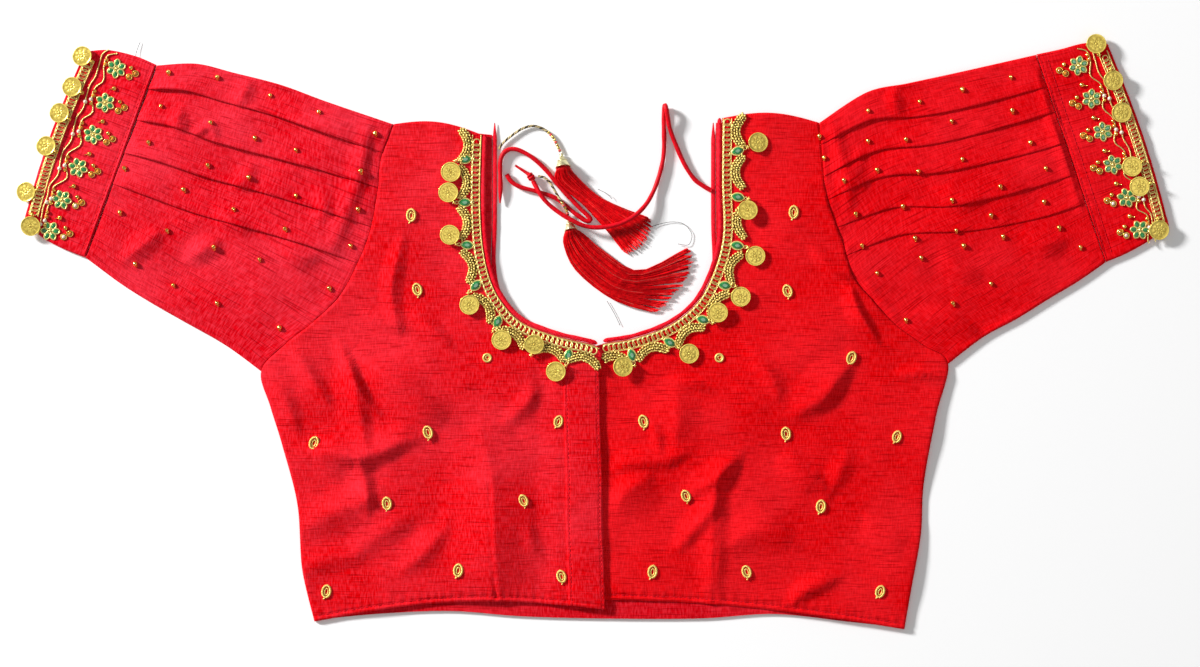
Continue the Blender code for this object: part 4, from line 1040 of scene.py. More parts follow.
@dataclass
class Front:
    """One front of the bodice, with its creases, dart and turned hem."""

    side: Side
    hem_stitch: float = 3.4
    hem_lip: float = 1.2
    hem_pucker: float = 4.6
    fold_depth: float = 1.6
    dart_depth: float = 0.9
    dart_swell: float = 0.55
    dart_step: float = 1.5
    edge_round: float = 0.9
    lowest_dip: float = -0.45
    surface: Surface = field(init=False)

    def heights(self, x: Array, y: Array) -> Array:
        """The height of the upper face, without its edges."""
        side = self.side
        near = to_seam(side, x, y)
        centre = ease((side.sign * x - side.calm[0]) / side.calm[1])
        lift = self.fold_depth * sum(crease.rise(x, y) for crease in side.creases)
        soft = 1.1 * wobble(x, y, 38, 1.0 + side.sign, 0.985) + 0.3 * wobble(x, y, 15, 3.0 + side.sign, 0.97)
        soft = 0.5 + soft
        rise = (WALL + GAP) * ramp(x, *PLACKET_RISE) if side.sign < 0 else 0.0
        line = even_path(side.dart, self.dart_step)
        gap, step = nearest_on(line, x, y)
        run, inner = step * self.dart_step, (x - line[step, 0]) * side.sign < 0
        pucker = 0.2 * np.sin(run / 1.9 + np.sin(run / 5)) * bell(gap, 5)
        fall = np.exp(-np.abs(x - line[step, 0]) / 7)
        dart = ease(run / 22) * (-self.dart_depth * bell(gap, 1.1) + pucker + self.dart_swell * fall * inner)
        swell = lift * centre * ease((near - 26) / 18) + (soft * centre + dart) * ease((near - 16) / 14)
        return FRONT_TOP + rise + np.maximum(swell, self.lowest_dip)

    def build(self, finishes: Finishes) -> Piece:
        """Makes the panel."""
        side = self.side
        us = clustered(((0.03, 6), (0.97, 134), (1.0, 5)))
        vs = clustered(((0.018, 12), (0.985, 142), (1.0, 5)))
        row = table_at(side.rows, vs)
        x = row[:, :1] + (row[:, 2:3] - row[:, :1]) * us
        y = row[:, 1:2] + (row[:, 3:4] - row[:, 1:2]) * us
        bow = np.sin(np.pi * us)
        y = y + bow * (side.hem_bow * (1 - vs[:, None]) ** 6 + SHOULDER_BOW * vs[:, None] ** 12)
        z = self.heights(x, y)
        up, in_from = run_over(x, y, 0), run_over(x, y, 1)
        seam = in_from[:, -1:] - in_from
        top = up[-1] - up
        z += -0.5 * bell(up - self.hem_stitch, 0.7) + 0.25 * bell(up - self.hem_lip, 0.9)
        z += 0.24 * np.sin(x / 0.95 + 2.2 * np.sin(x / 9)) * bell(up - self.hem_pucker, 3.0)
        wave = 0.3 * np.sin(y / 2.2 + 1.5 * np.sin(y / 11)) * bell(in_from, 7) * (vs[:, None] > 0.36)
        z += wave * ease(in_from / 1.5)
        for edge, depth in ((up, 0.45), (in_from, 0.6), (top, 0.5), (seam, 0.4)):
            z -= depth * bell(edge, self.edge_round)
        self.surface = Surface(np.stack([x, y, z], axis=-1))
        maker = MeshMaker()
        maker.slab(self.surface.points, FRONT_WALL, lowest=WALL + 0.02)
        return maker.build(f"front_panel_{side.name}", [finishes.bodies[side.name]])

    def hem_row(self) -> Array:
        """The flat line of the hem's stitches."""
        grid = self.surface.points[:, 4:-6, :2]
        way = grid[16] - grid[0]
        return grid[0] + way / np.linalg.norm(way, axis=1)[:, None] * self.hem_stitch


@dataclass
class Placket:
    """The doubled strip down the centre front, sewn near both edges."""

    stitch_in: float = 2.0
    hem_stitch: float = 2.6
    surface: Surface = field(init=False)

    def build(self, finishes: Finishes) -> Piece:
        """Makes the strip."""
        top_row = (UNDERARM_ROW + 1) / (len(LEFT.rows) - 1)
        us = clustered(((0.16, 8), (0.84, 14), (1.0, 8)))
        vs = clustered(((0.02, 8), (1.0, 124)))
        row = table_at(LEFT.rows, vs * top_row)
        x = row[:, 2:3] - PLACKET_WIDTH * (1 - us) + np.zeros((len(vs), len(us)))
        y = row[:, 3:4] + 3.0 * (1 - us) * (1 - vs[:, None]) - 0.5 * vs[:, None]
        x = x + 0.35 * np.sin(y / 23) + 0.2 * np.sin(y / 9 + 1)
        base = FRONT_TOP + (WALL + GAP) * ramp(x, *PLACKET_RISE)
        across = PLACKET_WIDTH * us
        up = y - y[0]
        soft = 0.3 * wobble(x, y, 17, 5.0) * ease((vs[:, None] - 0.02) * 12) * ease((0.9 - vs[:, None]) * 8)
        z = base + GAP + PLACKET_WALL + 0.25 * np.sin(np.pi * us) + soft
        near = bell(across - 2.2, 2.4) + bell(across - PLACKET_WIDTH + 2.2, 2.4)
        z += 0.16 * np.sin(y / 1.6 + np.sin(y / 6)) * near
        for line in (self.stitch_in, PLACKET_WIDTH - self.stitch_in):
            z -= 0.42 * bell(across - line, 0.55)
        z -= 0.5 * bell(up - self.hem_stitch, 0.7)
        for edge in (across, PLACKET_WIDTH - across, up):
            z -= 0.5 * bell(edge, 0.8)
        self.surface = Surface(np.stack([x, y, z], axis=-1))
        maker = MeshMaker()
        maker.slab(self.surface.points, PLACKET_WALL)
        return maker.build("front_placket", [finishes.bodies["left"]])

    def stitch_rows(self) -> list[Array]:
        """The flat lines of the stitches near both edges."""
        grid = self.surface.points[4:-10, :, :2]
        return [grid[:, 0] + (self.stitch_in, 0.0), grid[:, -1] - (self.stitch_in, 0.0)]


@dataclass
class Back:
    """The back panel, seen inside the neck and below the hem, and its neck's binding."""

    roll_step: float = 1.6
    area: float = field(init=False)
    size: tuple[float, float] = field(init=False)

    def outline(self) -> Array:
        """The panel's edge, round from the right hem corner."""
        right = table_at([row[:2] for row in RIGHT.rows], np.linspace(0, 1, 60))
        left = table_at([row[:2] for row in LEFT.rows], np.linspace(1, 0, 60))
        hem = even_path(BACK_HEM, 6.0)[1:-1]
        neck = self.neck(2.0)
        neck = neck[(neck[:, 0] > 0) | (neck[:, 1] < BACK_LEFT_SHOULDER)]
        return np.vstack([right, neck, left, hem])

    def neck(self, spacing: float) -> Array:
        """The back's neck seam, from the right shoulder to the left one."""
        half = list(BACK_NECK_HALF)
        return even_path(half[:0:-1] + [(-x, y) for x, y in half], spacing)

    def build(self, finishes: Finishes) -> list[Piece]:
        """Makes the panel and its binding."""
        outline = self.outline()
        count = len(outline)
        maker = MeshMaker()
        points = np.vstack([lifted(outline, 0.0), lifted(outline, WALL)])
        faces = [list(range(count))[::-1], list(range(count, 2 * count))]
        for step in range(count):
            after = (step + 1) % count
            faces.append([step, after, count + after, count + step])
        maker.add(points, faces, closed=False)
        self.area = flat_area(outline * MM)
        self.size = tuple(float(reach) for reach in np.ptp(outline * MM, axis=0))
        panel = maker.build("back_panel_cloth", [finishes.inside], smooth=False)
        roll = MeshMaker()
        path = beside(self.neck(self.roll_step), -(BINDING_WIDTH / 2 + GAP))
        run = np.arange(len(path)) * self.roll_step
        size = BINDING_WIDTH / 2 * np.clip(0.2 + np.minimum(run, run[-1] - run) / 13, 0, 1)
        roll.sweep(lifted(path, WALL / 2 + 0.05 + 0.05 * np.sin(run / 2.1)), size, 12, 0.4)
        return [panel, roll.build("back_neck_piping", [finishes.piping])]


@dataclass
class Binding:
    """The rolled piping along one front's neck edge."""

    side: Side
    step: float = 1.2

    def build(self, finishes: Finishes) -> Piece:
        """Makes the roll."""
        side = self.side
        seam = neck_seam(side, self.step)
        path = clear_of_centre(side, beside(seam, side.sign * (BINDING_WIDTH / 2 + GAP)))
        run = np.arange(len(path)) * self.step
        size = BINDING_WIDTH / 2 * (1 + 0.05 * np.sin(run / 1.9) + 0.04 * np.sin(run / 5.3))
        ends = np.minimum(run, run[::-1])
        size *= np.sqrt(np.clip(ends / 1.6, 0.1, 1))
        maker = MeshMaker()
        maker.sweep(lifted(path, trim_seat(side, path[:, 0]) - 0.1), size, 14, 0.73)
        return maker.build(f"neck_piping_{side.name}", [finishes.piping])


@dataclass
class Tube:
    """A flattened cloth tube, open at both ends, with soft pleats folded down on its upper face."""

    name: str
    spans: Points
    joint_edge: Callable[[float, Array], Array]
    pleats: Points = ()
    pleat_heights: Floats = ()
    gape: float = 0.0
    rows: int = 92
    weave: tuple[float, float] = (150.0, 165.0)
    seam_lines: Floats = ()
    welt: float = 0.0
    creases: tuple[Crease, ...] = ()
    side_roll: float = 2.2
    lining_in: float = 3.2
    pleat_lip: float = 1.7
    surface: Surface = field(init=False)

    def upper(self, s: float, width: float) -> tuple[Array, Array]:
        """Places across the upper face and their heights above the flat cloth.

        Args:
            s: How far along the tube, from 0 to 1.
            width: The tube's width there, in millimetres.

        Returns:
            Fractions of the width from the bottom edge, and heights.
        """
        raised = 0.15 + 0.85 * float(ease(s / 0.14) * ease((1 - s) / 0.08))
        lines = [float(table_at([(v,) for v in pleat], np.array([s]))[0, 0]) for pleat in self.pleats]
        marks = lines + [1 - self.lining_in / width]
        lip_share = self.pleat_lip / width
        until, count = (marks[0] - lip_share, 44) if lines else (marks[0], 64)
        first = np.linspace(self.side_roll / width, until, count)
        places, heights = [first], [np.zeros(len(first))]
        for order, (line, after) in enumerate(zip(lines, marks[1:])):
            high = 1.5 * self.pleat_heights[order] * raised * (1 + 0.22 * math.sin(9 * s + 2.1 * order))
            high *= 1 + self.gape * bell(s - 0.24, 0.13) * (order == len(lines) - 1)
            lip = np.array([0.2, 0.9, 0.4, -0.5, -0.75, -0.35, 0.5]) / width
            places.append(line + lip)
            heights.append(high * np.array([-0.05, 0.08, 0.3, 0.42, 0.72, 0.95, 1.02]))
            share = np.linspace(0, 1, 22)[1:]
            start = line + 0.5 / width
            places.append(start + (after - (lip_share if order < len(lines) - 1 else 0) - start) * share)
            heights.append(high * (1 - share) ** 1.15)
        return np.concatenate(places), np.concatenate(heights)

    def flat(self, s: float, t: Array) -> Array:
        """The flat places at fractions of the width."""
        row = table_at(self.spans, np.array([s]))[0]
        straight = row[:2] + (row[2:] - row[:2]) * t[:, None]
        return straight + self.joint_edge(s, np.clip(t, 0, 1))

    def section(self, s: float) -> tuple[Array, Array, Array]:
        """One ring of points around the tube.

        Args:
            s: How far along the tube, from 0 to 1.

        Returns:
            The ring outside, its weave coordinates and the ring inside.
        """
        row = table_at(self.spans, np.array([s]))[0]
        width = float(np.hypot(*(row[2:] - row[:2])))
        t, lift = self.upper(s, width)
        turn = np.linspace(-1, 1, 9)[1:-1] * np.pi / 2
        roll = self.side_roll / width
        near, far = roll * (1 - np.cos(turn)), 1 - roll * (1 - np.cos(turn[::-1]))
        half = FRONT_TOP / 2
        under = np.linspace(1 - 3 / width, 3 / width, 14)
        places = np.concatenate([near, t, far, under])
        flat = self.flat(s, places)
        x, y = flat.T
        run = s * self.weave[0]
        soft = 0.8 * wobble(x, y, 26, 2.0, 0.985) + 0.28 * wobble(x, y, 11, 4.0, 0.97)
        soft = soft + 2.1 * sum(crease.rise(x, y) for crease in self.creases)
        fade = ease(s / 0.06) * ease((1 - s) / 0.05)
        fade = fade * ease(places * width / 7) * ease((1 - places) * width / 7)
        ripple = np.sin(places * width / 2.3 + np.sin(places * 19))
        edge = 0.26 * ripple * (bell(run, 6) + bell(self.weave[0] - run, 5)) * ease(run / 1.2)
        heights = np.concatenate([half + half * np.sin(turn), FRONT_TOP + lift,
                                  half + half * np.sin(turn[::-1]), np.zeros(len(under))])
        top = np.zeros(len(places))
        top[len(near):len(near) + len(t)] = 1
        groove = sum(-0.4 * bell(run - line, 0.6) for line in self.seam_lines)
        groove += self.welt * bell(run - 1.5, 0.8)
        lip = 0.35 * (bell(run, 0.9) + bell(self.weave[0] - run, 0.9))
        heights = heights + top * (soft * fade + edge * ease(places * width / 5) + groove - lip)
        inner = np.clip(places, self.lining_in / width, 1 - self.lining_in / width)
        low = np.where(heights > half, WALL + GAP, WALL)
        return (np.column_stack([flat, np.maximum(heights, 0.0)]),
                np.column_stack([np.full(len(places), run), places * self.weave[1]]),
                np.column_stack([self.flat(s, inner), low]))

    def build(self, finish: Material) -> Piece:
        """Makes the tube, outside and inside."""
        shares = clustered(((0.05, 9), (0.95, self.rows - 18), (1.0, 9)))
        outside, uvs, inside = zip(*(self.section(float(s)) for s in shares))
        self.surface = Surface(np.array(outside)[:, 7:-21])
        maker = MeshMaker()
        maker.skin(np.array(outside + inside[::-1]), around=True, along=True, uv=np.array(uvs + uvs[::-1]))
        return maker.build(self.name, [finish])

    def stitch_rows(self) -> list[Array]:
        """The flat lines of the stitches along the seam lines, across the upper face."""
        across = np.linspace(0.04, 0.96, 60)
        return [self.flat(line / self.weave[0], across) for line in self.seam_lines]


def sleeve_edge(side: Side) -> Callable[[float, Array], Array]:
    """How a sleeve's end follows the armhole, fading along the sleeve."""
    last = len(side.rows) - 1
    first = np.array(side.sleeve[0], float)
    away = np.array([side.sign * 0.12, 0.03])  # the cloth nearly meets at the seam

    def follow(s: float, t: Array) -> Array:
        """The shift from the straight span."""
        outer = table_at([row[:2] for row in side.rows], (UNDERARM_ROW + t * (last - UNDERARM_ROW)) / last)
        straight = first[:2] + (first[2:] - first[:2]) * t[:, None]
        return (outer - straight) * (1 - s) ** 2 + away * (1 - s)

    return follow


def cuff_bow(side: Side) -> Callable[[float, Array], Array]:
    """How a cuff's open edge bows."""
    def follow(s: float, t: Array) -> Array:
        """The shift from the straight span."""
        return np.column_stack([-side.sign * CUFF_EDGE_BOW * np.sin(np.pi * t) * s, np.zeros(len(t))])

    return follow


# ---------------------------------------------------------------- trims

CHAIN_FROM_SEAM = 3.4
SCALLOP_CHORD = 22.6
SCALLOP_BOW = 6.2
SCALLOP_FROM_SEAM = 9.5
STONE_FROM_SEAM = 10.4
STONE_TO_HINGE = 7.1
HINGE_HEIGHT = 3.15
RING_RADIUS = 1.25
RING_WIRE = 0.32
LOOP_WIRE = 0.34
LOOP_HEIGHT = 0.75
CUFF_CHAIN_FROM_EDGE = 5.2


def outward(side: Side, way: Array) -> Array:
    """The direction away from the neck opening, across a seam from the centre to the shoulder."""
    return np.array([-way[1], way[0]]) * -side.sign


def marquise(length: float, width: float, count: int = 24) -> Array:
    """A pointed oval outline about the origin."""
    angle = 2 * np.pi * np.arange(count) / count
    sine = np.sin(angle)
    return np.column_stack([length / 2 * np.cos(angle), width / 2 * sine * np.abs(sine) ** 0.45])


def turned(flat: Array, angle: float, centre: Floats) -> Array:
    """Flat points turned about the origin and moved to a centre."""
    cos, sin = math.cos(angle), math.sin(angle)
    return flat @ np.array([[cos, sin], [-sin, cos]]) + np.array(centre[:2])


def add_dome(maker: MeshMaker, centre: Floats, radius: float, height: float, finish: int = 0,
             rings: int = 5, sides: int = 10) -> None:
    """Adds a bead: a round dome with a flat foot."""
    rows = []
    for step in range(rings):
        angle = np.pi / 2 * step / (rings - 0.6)
        middle = (centre[0], centre[1], centre[2] + height * math.sin(angle))
        rows.append(ring_path(radius * math.cos(angle), sides, middle))
    maker.skin(np.array([ring_path(radius * 0.8, sides, centre)] + rows), around=True, finish=finish)


def add_fixed_ring(maker: MeshMaker, hinge: Floats, coin_turn: float) -> None:
    """Adds the upright ring that a coin's own ring hangs on."""
    angle = math.radians(coin_turn + 90)
    centre = (hinge[0], hinge[1], hinge[2] - RING_RADIUS)
    axes = ((math.cos(angle), math.sin(angle), 0), (0, 0, 1))
    maker.ring(RING_RADIUS, RING_WIRE, centre, 20, 7, axes)


@dataclass
class Chain:
    """A curb chain laid flat: oval links, each rolled over the next one."""

    pitch: float = 3.3
    reach: float = 2.3
    half_width: float = 2.6
    wire: float = 0.46
    roll: float = 0.4
    turn: float = 0.38

    def build(self, name: str, route: Array, heights: Array, finish: Material, repeat: RepeatTool) -> Piece:
        """Lays the links along a route that is finely and evenly spaced."""
        unit = MeshMaker()
        angle = 2 * np.pi * np.arange(16) / 16
        oval = np.column_stack([self.reach * np.cos(angle), self.half_width * np.sin(angle), 0 * angle])
        unit.sweep(oval, self.wire, 6, flat=0.9, looped=True)
        run = distance_along(route[:, :2])
        at = np.arange(self.reach, run[-1] - self.reach + 0.1, self.pitch)
        spots = read_at(at, run, route[:, 0], route[:, 1], heights)
        ahead = np.interp(at, run, heading(travel(route[:, :2])))
        turns = np.column_stack([np.full(len(at), self.roll), np.zeros(len(at)), ahead + self.turn])
        return repeat.lay(name, unit, spots, turns, finish, turn_jitter=0.07, size_jitter=0.03, seed=4)


def add_twisted(maker: MeshMaker, path: Array, radius: float, pitch: float) -> None:
    """Adds a twisted cord of two thin plies along an evenly spaced path."""
    for phase in (0.0, np.pi):
        maker.sweep(twist(path, radius * 0.5, pitch, phase), radius * 0.56, 5)


@dataclass
class NeckTrim:
    """One side's neck trim: chain, purl crescents, stone settings and the rings for the coins."""

    side: Side
    braids: Points = ((0.7, 0.42), (6.2, 0.3))  # distance from the seam, radius
    bed_profile: Points = ((-0.92, 0.05), (-0.75, 0.75), (0, 1.25), (0.75, 0.75), (0.92, 0.05))
    crescent_width: float = 5.8
    chip_rows: int = 4
    chip_pitch: float = 1.8
    chip_half: float = 0.85
    loops: Points = ((-4.9, 0.8), (5.35, 0.95))  # distance from the stone's middle, radius
    post: Floats = (6.3, 7.0)

    def chain(self, finishes: Finishes, repeat: RepeatTool) -> list[Piece]:
        """Makes the chain and the braid beside it."""
        side = self.side
        seam = neck_seam(side, 0.8)
        route = clear_of_centre(side, beside(seam, -side.sign * CHAIN_FROM_SEAM))
        heights = trim_seat(side, route[:, 0]) + 0.95
        links = Chain().build(f"neck_chain_{side.name}", route, heights, finishes.zari, repeat)
        maker = MeshMaker()
        for offset, radius in self.braids:
            line = clear_of_centre(side, beside(neck_seam(side, 0.42), -side.sign * offset))
            add_twisted(maker, lifted(line, trim_seat(side, line[:, 0]) + 0.6), radius, 1.5)
        run = MeshMaker()
        line = clear_of_centre(side, beside(neck_seam(side, 1.5), -side.sign * 0.05))
        run.sweep(lifted(line, trim_seat(side, line[:, 0]) + 0.05), 0.28, 6)
        return [links, maker.build(f"neck_braid_{side.name}", [finishes.zari]),
                run.build(f"neck_seam_thread_{side.name}", [finishes.stitch])]

    def crescents(self, finishes: Finishes, repeat: RepeatTool) -> list[Piece]:
        """Makes the crescents: a padded bed each, covered with short chips of purl."""
        side = self.side
        seam = neck_seam(side, 1.0)
        beds, chip = MeshMaker(), MeshMaker()
        spots, turns = [], []
        for along in side.scallops:
            foot, way = at_distance(seam, along)
            out = outward(side, way)
            t = np.linspace(-0.97, 0.97, 61)
            spine = foot + out * SCALLOP_FROM_SEAM + way * t[:, None] * SCALLOP_CHORD / 2
            spine = spine + out * (SCALLOP_BOW * t[:, None] ** 2 - 0.6)
            keep = spine[:, 0] * side.sign > side.centre_clear
            spine, t = spine[keep], t[keep]
            ahead = travel(spine)
            across = np.column_stack([-ahead[:, 1], ahead[:, 0]])
            half = self.crescent_width / 2 * np.sqrt(np.clip(1 - np.abs(t) ** 7, 0.1, 1))
            seat = trim_seat(side, spine[:, 0])
            bed = [np.column_stack([spine + across * (half * place)[:, None], seat + high])
                   for place, high in self.bed_profile]
            beds.skin(np.stack(bed, axis=1), around=True)
            run = distance_along(spine)
            for order in range(self.chip_rows):
                place = 2 * order / (self.chip_rows - 1) - 1
                at = np.arange(0.7 + 0.45 * self.chip_pitch * (order % 2), run[-1] - 0.4, self.chip_pitch)
                flat = spine + across * (half * place * 0.86)[:, None]
                spot = read_at(at, run, flat[:, 0], flat[:, 1], seat)
                spot[:, 2] = spot[:, 2] + 1.0 + 0.75 * (1 - place ** 2)
                spots.append(spot)
                turns.append(upright(np.interp(at, run, heading(ahead)) + 0.8 * np.sin(at * 5 + order)))
        chip.sweep([(x, 0, 0) for x in (-self.chip_half, -0.5, 0.5, self.chip_half)],
                   np.array([0.28, 0.66, 0.66, 0.28]), 5)
        name = f"neck_crescents_{side.name}"
        chips = repeat.lay(name, chip, np.vstack(spots), np.vstack(turns), finishes.purl, turn_jitter=0.45,
                           size_jitter=0.18, seed=9)
        # The beds' dark finish is painted shade in the gaps between the chips.
        return [chips, beds.build(f"neck_crescent_beds_{side.name}", [finishes.bed])]

    def stones(self, finishes: Finishes) -> Piece:
        """Makes the stone settings, their loops and the rings that the coins hang on."""
        side = self.side
        seam = neck_seam(side, 1.0)
        maker = MeshMaker()
        for along, loop_turn, coin_turn in side.charms:
            foot, way = at_distance(seam, along)
            middle = foot + outward(side, way) * STONE_FROM_SEAM
            angle = math.radians(loop_turn)
            hinge = middle + np.array([math.cos(angle), math.sin(angle)]) * STONE_TO_HINGE
            seat = float(max(trim_seat(side, [middle[0], hinge[0]])))
            self.add_stone(maker, (*middle, seat), angle)
            for reach, size in self.loops:
                eye = turned(np.array([[reach, 0.0]]), angle, middle)[0]
                maker.ring(size, LOOP_WIRE, (*eye, seat + LOOP_HEIGHT), 14)
            add_fixed_ring(maker, (*hinge, seat + HINGE_HEIGHT), coin_turn)
            post = turned(np.array([(reach, 0.0) for reach in self.post]), angle, middle)
            maker.sweep(lifted(post, seat + 0.6), 0.4, 6)
        return maker.build(f"neck_stones_{side.name}", [finishes.zari, finishes.emerald], facets=(1,))

    @staticmethod
    def add_stone(maker: MeshMaker, centre: Floats, angle: float, length: float = 9.2,
                  width: float = 6.0) -> None:
        """Adds a pointed oval stone with its crown and its bezel."""
        rings = []
        for share, high in ((0.86, 0.2), (0.86, 1.2), (0.66, 1.95), (0.36, 2.25)):
            flat = turned(marquise(length * share, width * share, 12), angle, centre)
            rings.append(lifted(flat, centre[2] + high))
        maker.skin(np.array(rings), around=True, finish=1)
        rim = turned(marquise(length - 0.7, width - 0.7, 32), angle, centre)
        maker.sweep(lifted(rim, centre[2] + 0.85), 0.5, 7, 1.4, looped=True)

    def build(self, finishes: Finishes, repeat: RepeatTool) -> list[Piece]:
        """Makes all the pieces of the trim."""
        return self.chain(finishes, repeat) + self.crescents(finishes, repeat) + [self.stones(finishes)]


def cuff_edge(side: Side, count: int) -> Array:
    """The open edge of a cuff, from its bottom corner to its top corner."""
    span = np.array(side.cuff[-1], float)
    t = 0.03 + 0.94 * np.linspace(0, 1, count)[:, None]
    bow = np.array([-side.sign * CUFF_EDGE_BOW, 0.0]) * np.sin(np.pi * t)
    return span[:2] + (span[2:] - span[:2]) * t + bow


@dataclass
class CuffTrim:
    """One cuff's trim: chain and cords, winding vines, stone blossoms, bead clusters and rings."""

    side: Side
    surface: Surface
    petals: int = 6
    cluster_off: tuple[float, float] = (-1.2, 10.6)
    single_off: tuple[float, float] = (0.8, 2.8)
    vine_steps: Points = ((-7.0, 0.33, 0.52), (0.0, 0.36, 0.54), (8.6, 0.42, 0.74))
    vine_gap: float = 2.5
    knots: Points = ((-4.6, 0.55, 0), (-1.4, 0.57, 1), (1.4, 0.54, 2), (4.4, 0.4, 2), (4.2, 0.6, 0))
    cluster: Points = ((-0.5, 3.7, 1.6), (2.5, -0.1, 1.9), (-1.7, -2.2, 1.9), (0.6, 0.9, 0.9))
    cords_off: Floats = (-2.9, 3.0)
    chain_step: float = 0.8

    def route(self, spacing: float) -> Array:
        """The chain's middle line, from the bottom corner to the top one."""
        line = beside(cuff_edge(self.side, 60), self.side.sign * CUFF_CHAIN_FROM_EDGE)
        return even_path(line, spacing)

    def place(self, blossom: Floats, down: float, share: float) -> Array:
        """A flat point by its distance below a blossom and its share of the way from the chain to it."""
        line = self.route(self.chain_step)
        gaps = np.linalg.norm(line - np.array(blossom), axis=1)
        nearest = int(np.argmin(gaps))
        way = travel(line)[nearest]
        into = np.array([-way[1], way[0]]) * self.side.sign
        return line[nearest] - way * down + into * gaps[nearest] * share

    def vine(self, column: int) -> Array:
        """A winding cord's line from above the first blossom to below the last, never turning back."""
        first, last = self.side.blossoms[0], self.side.blossoms[-1]
        points = [self.place(first, -11.0, self.vine_steps[0][column] + 0.14 * column)]
        for blossom in self.side.blossoms:
            points += [self.place(blossom, step[0], step[column]) for step in self.vine_steps]
        points.append(self.place(last, 11.5, self.vine_steps[2][column]))
        top_down = -travel(self.route(self.chain_step)).mean(axis=0)
        points.sort(key=lambda point: float(point @ top_down))
        kept = points[:1]
        for point in points[1:]:
            if (point - kept[-1]) @ top_down > self.vine_gap:
                kept.append(point)
        return np.array(kept)

    def off(self, spot: Floats, down: float, inward: float) -> Array:
        """A flat point by its distance below a spot and inward from it, square to the cuff's edge."""
        line = self.route(self.chain_step)
        way = travel(line)[int(np.argmin(np.linalg.norm(line - np.array(spot), axis=1)))]
        return np.array(spot) - way * down + np.array([-way[1], way[0]]) * self.side.sign * inward

    def cords(self, finishes: Finishes, repeat: RepeatTool) -> list[Piece]:
        """Makes the chain, the straight cords beside it and the vines."""
        side = self.side
        route = self.route(self.chain_step)
        chain = Chain(pitch=2.8, reach=2.0, half_width=2.4, wire=0.42, roll=0.4, turn=0.5)
        heights = np.full(len(route), FRONT_TOP + 1.0)
        links = chain.build(f"cuff_chain_{side.name}", route, heights, finishes.zari, repeat)
        maker = MeshMaker()
        for offset in self.cords_off:
            line = even_path(beside(self.route(2.0), side.sign * offset), 0.44)
            add_twisted(maker, lifted(line, FRONT_TOP + 0.55), 0.52, 1.7)
        for column in (1, 2):
            line = even_path(self.vine(column), 0.42)
            high = self.surface.height(line[::12])
            high = np.interp(np.arange(len(line)), np.arange(len(line))[::12], high)
            add_twisted(maker, lifted(line, high + 0.45), 0.5, 1.5)
        return [links, maker.build(f"cuff_cords_{side.name}", [finishes.pale_gold])]

    def blossoms(self, finishes: Finishes) -> Piece:
        """Makes the blossoms with their petals of green stone."""
        maker = MeshMaker()
        for number, blossom in enumerate(self.side.blossoms):
            seat = self.surface.under(blossom) + 0.1
            for petal in range(self.petals):
                angle = 2 * math.pi * (petal + 0.35 + 0.12 * number) / self.petals
                heart = np.array(blossom) + 3.9 * np.array([math.cos(angle), math.sin(angle)])
                leaf = turned(marquise(4.7, 3.6, 20), angle, heart)
                maker.sweep(lifted(leaf, seat + 0.55), 0.5, 6, looped=True)
                rings = [lifted(turned(marquise(4.2 * share, 3.1 * share, 10), angle, heart), seat + high)
                         for share, high in ((0.9, 0.1), (0.9, 0.75), (0.55, 1.25))]
                maker.skin(np.array(rings), around=True, finish=1)
            add_dome(maker, (*blossom, seat), 1.3, 1.5)
        metals = [finishes.pale_gold, finishes.emerald]
        return maker.build(f"cuff_blossoms_{self.side.name}", metals, facets=(1,))

    def beads(self, finishes: Finishes) -> Piece:
        """Makes the bead clusters, the single beads on stems and the coins' rings."""
        side = self.side
        maker = MeshMaker()
        for number, blossom in enumerate(side.blossoms):
            centre = self.off(blossom, *self.cluster_off)
            for order, (down, share, kind) in enumerate(self.knots):
                if number or order < 2:
                    spot = self.place(blossom, down, share)
                    high = self.surface.under(spot)
                    add_dome(maker, (*spot, high), 1.45, 1.9, kind)
            for order, (x, y, size) in enumerate(self.cluster):
                spot = np.array([centre[0] - side.sign * x, centre[1] + y])
                high = self.surface.under(spot)
                if order not in (1, 2):
                    add_dome(maker, (*spot, high), size, 1.7)
                    continue
                add_dome(maker, (*spot, high), size * 0.72, 1.7, 2 if number > 3 and order == 2 else 1)
                maker.ring(size, 0.42, (*spot, high + 0.5))
        for one, other in zip(side.blossoms, side.blossoms[1:]):
            single = self.off((np.array(one) + np.array(other)) / 2, *self.single_off)
            high = self.surface.under(single)
            add_dome(maker, (*single, high), 1.75, 1.9)
            stem = np.array([single, (single[0] + side.sign * 3.4, single[1] - 0.6)])
            maker.sweep(lifted(stem, high + 0.35), 0.3, 6)
        for x, y, turn in side.hangers:
            add_fixed_ring(maker, (x, y, FRONT_TOP + HINGE_HEIGHT), turn)
            maker.ring(1.0, LOOP_WIRE, (x, y, FRONT_TOP + LOOP_HEIGHT), 14)
        return maker.build(f"cuff_beads_{side.name}", [finishes.bead, finishes.amber, finishes.pearl])

    def build(self, finishes: Finishes, repeat: RepeatTool) -> list[Piece]:
        """Makes all the pieces of the trim."""
        return self.cords(finishes, repeat) + [self.blossoms(finishes), self.beads(finishes)]


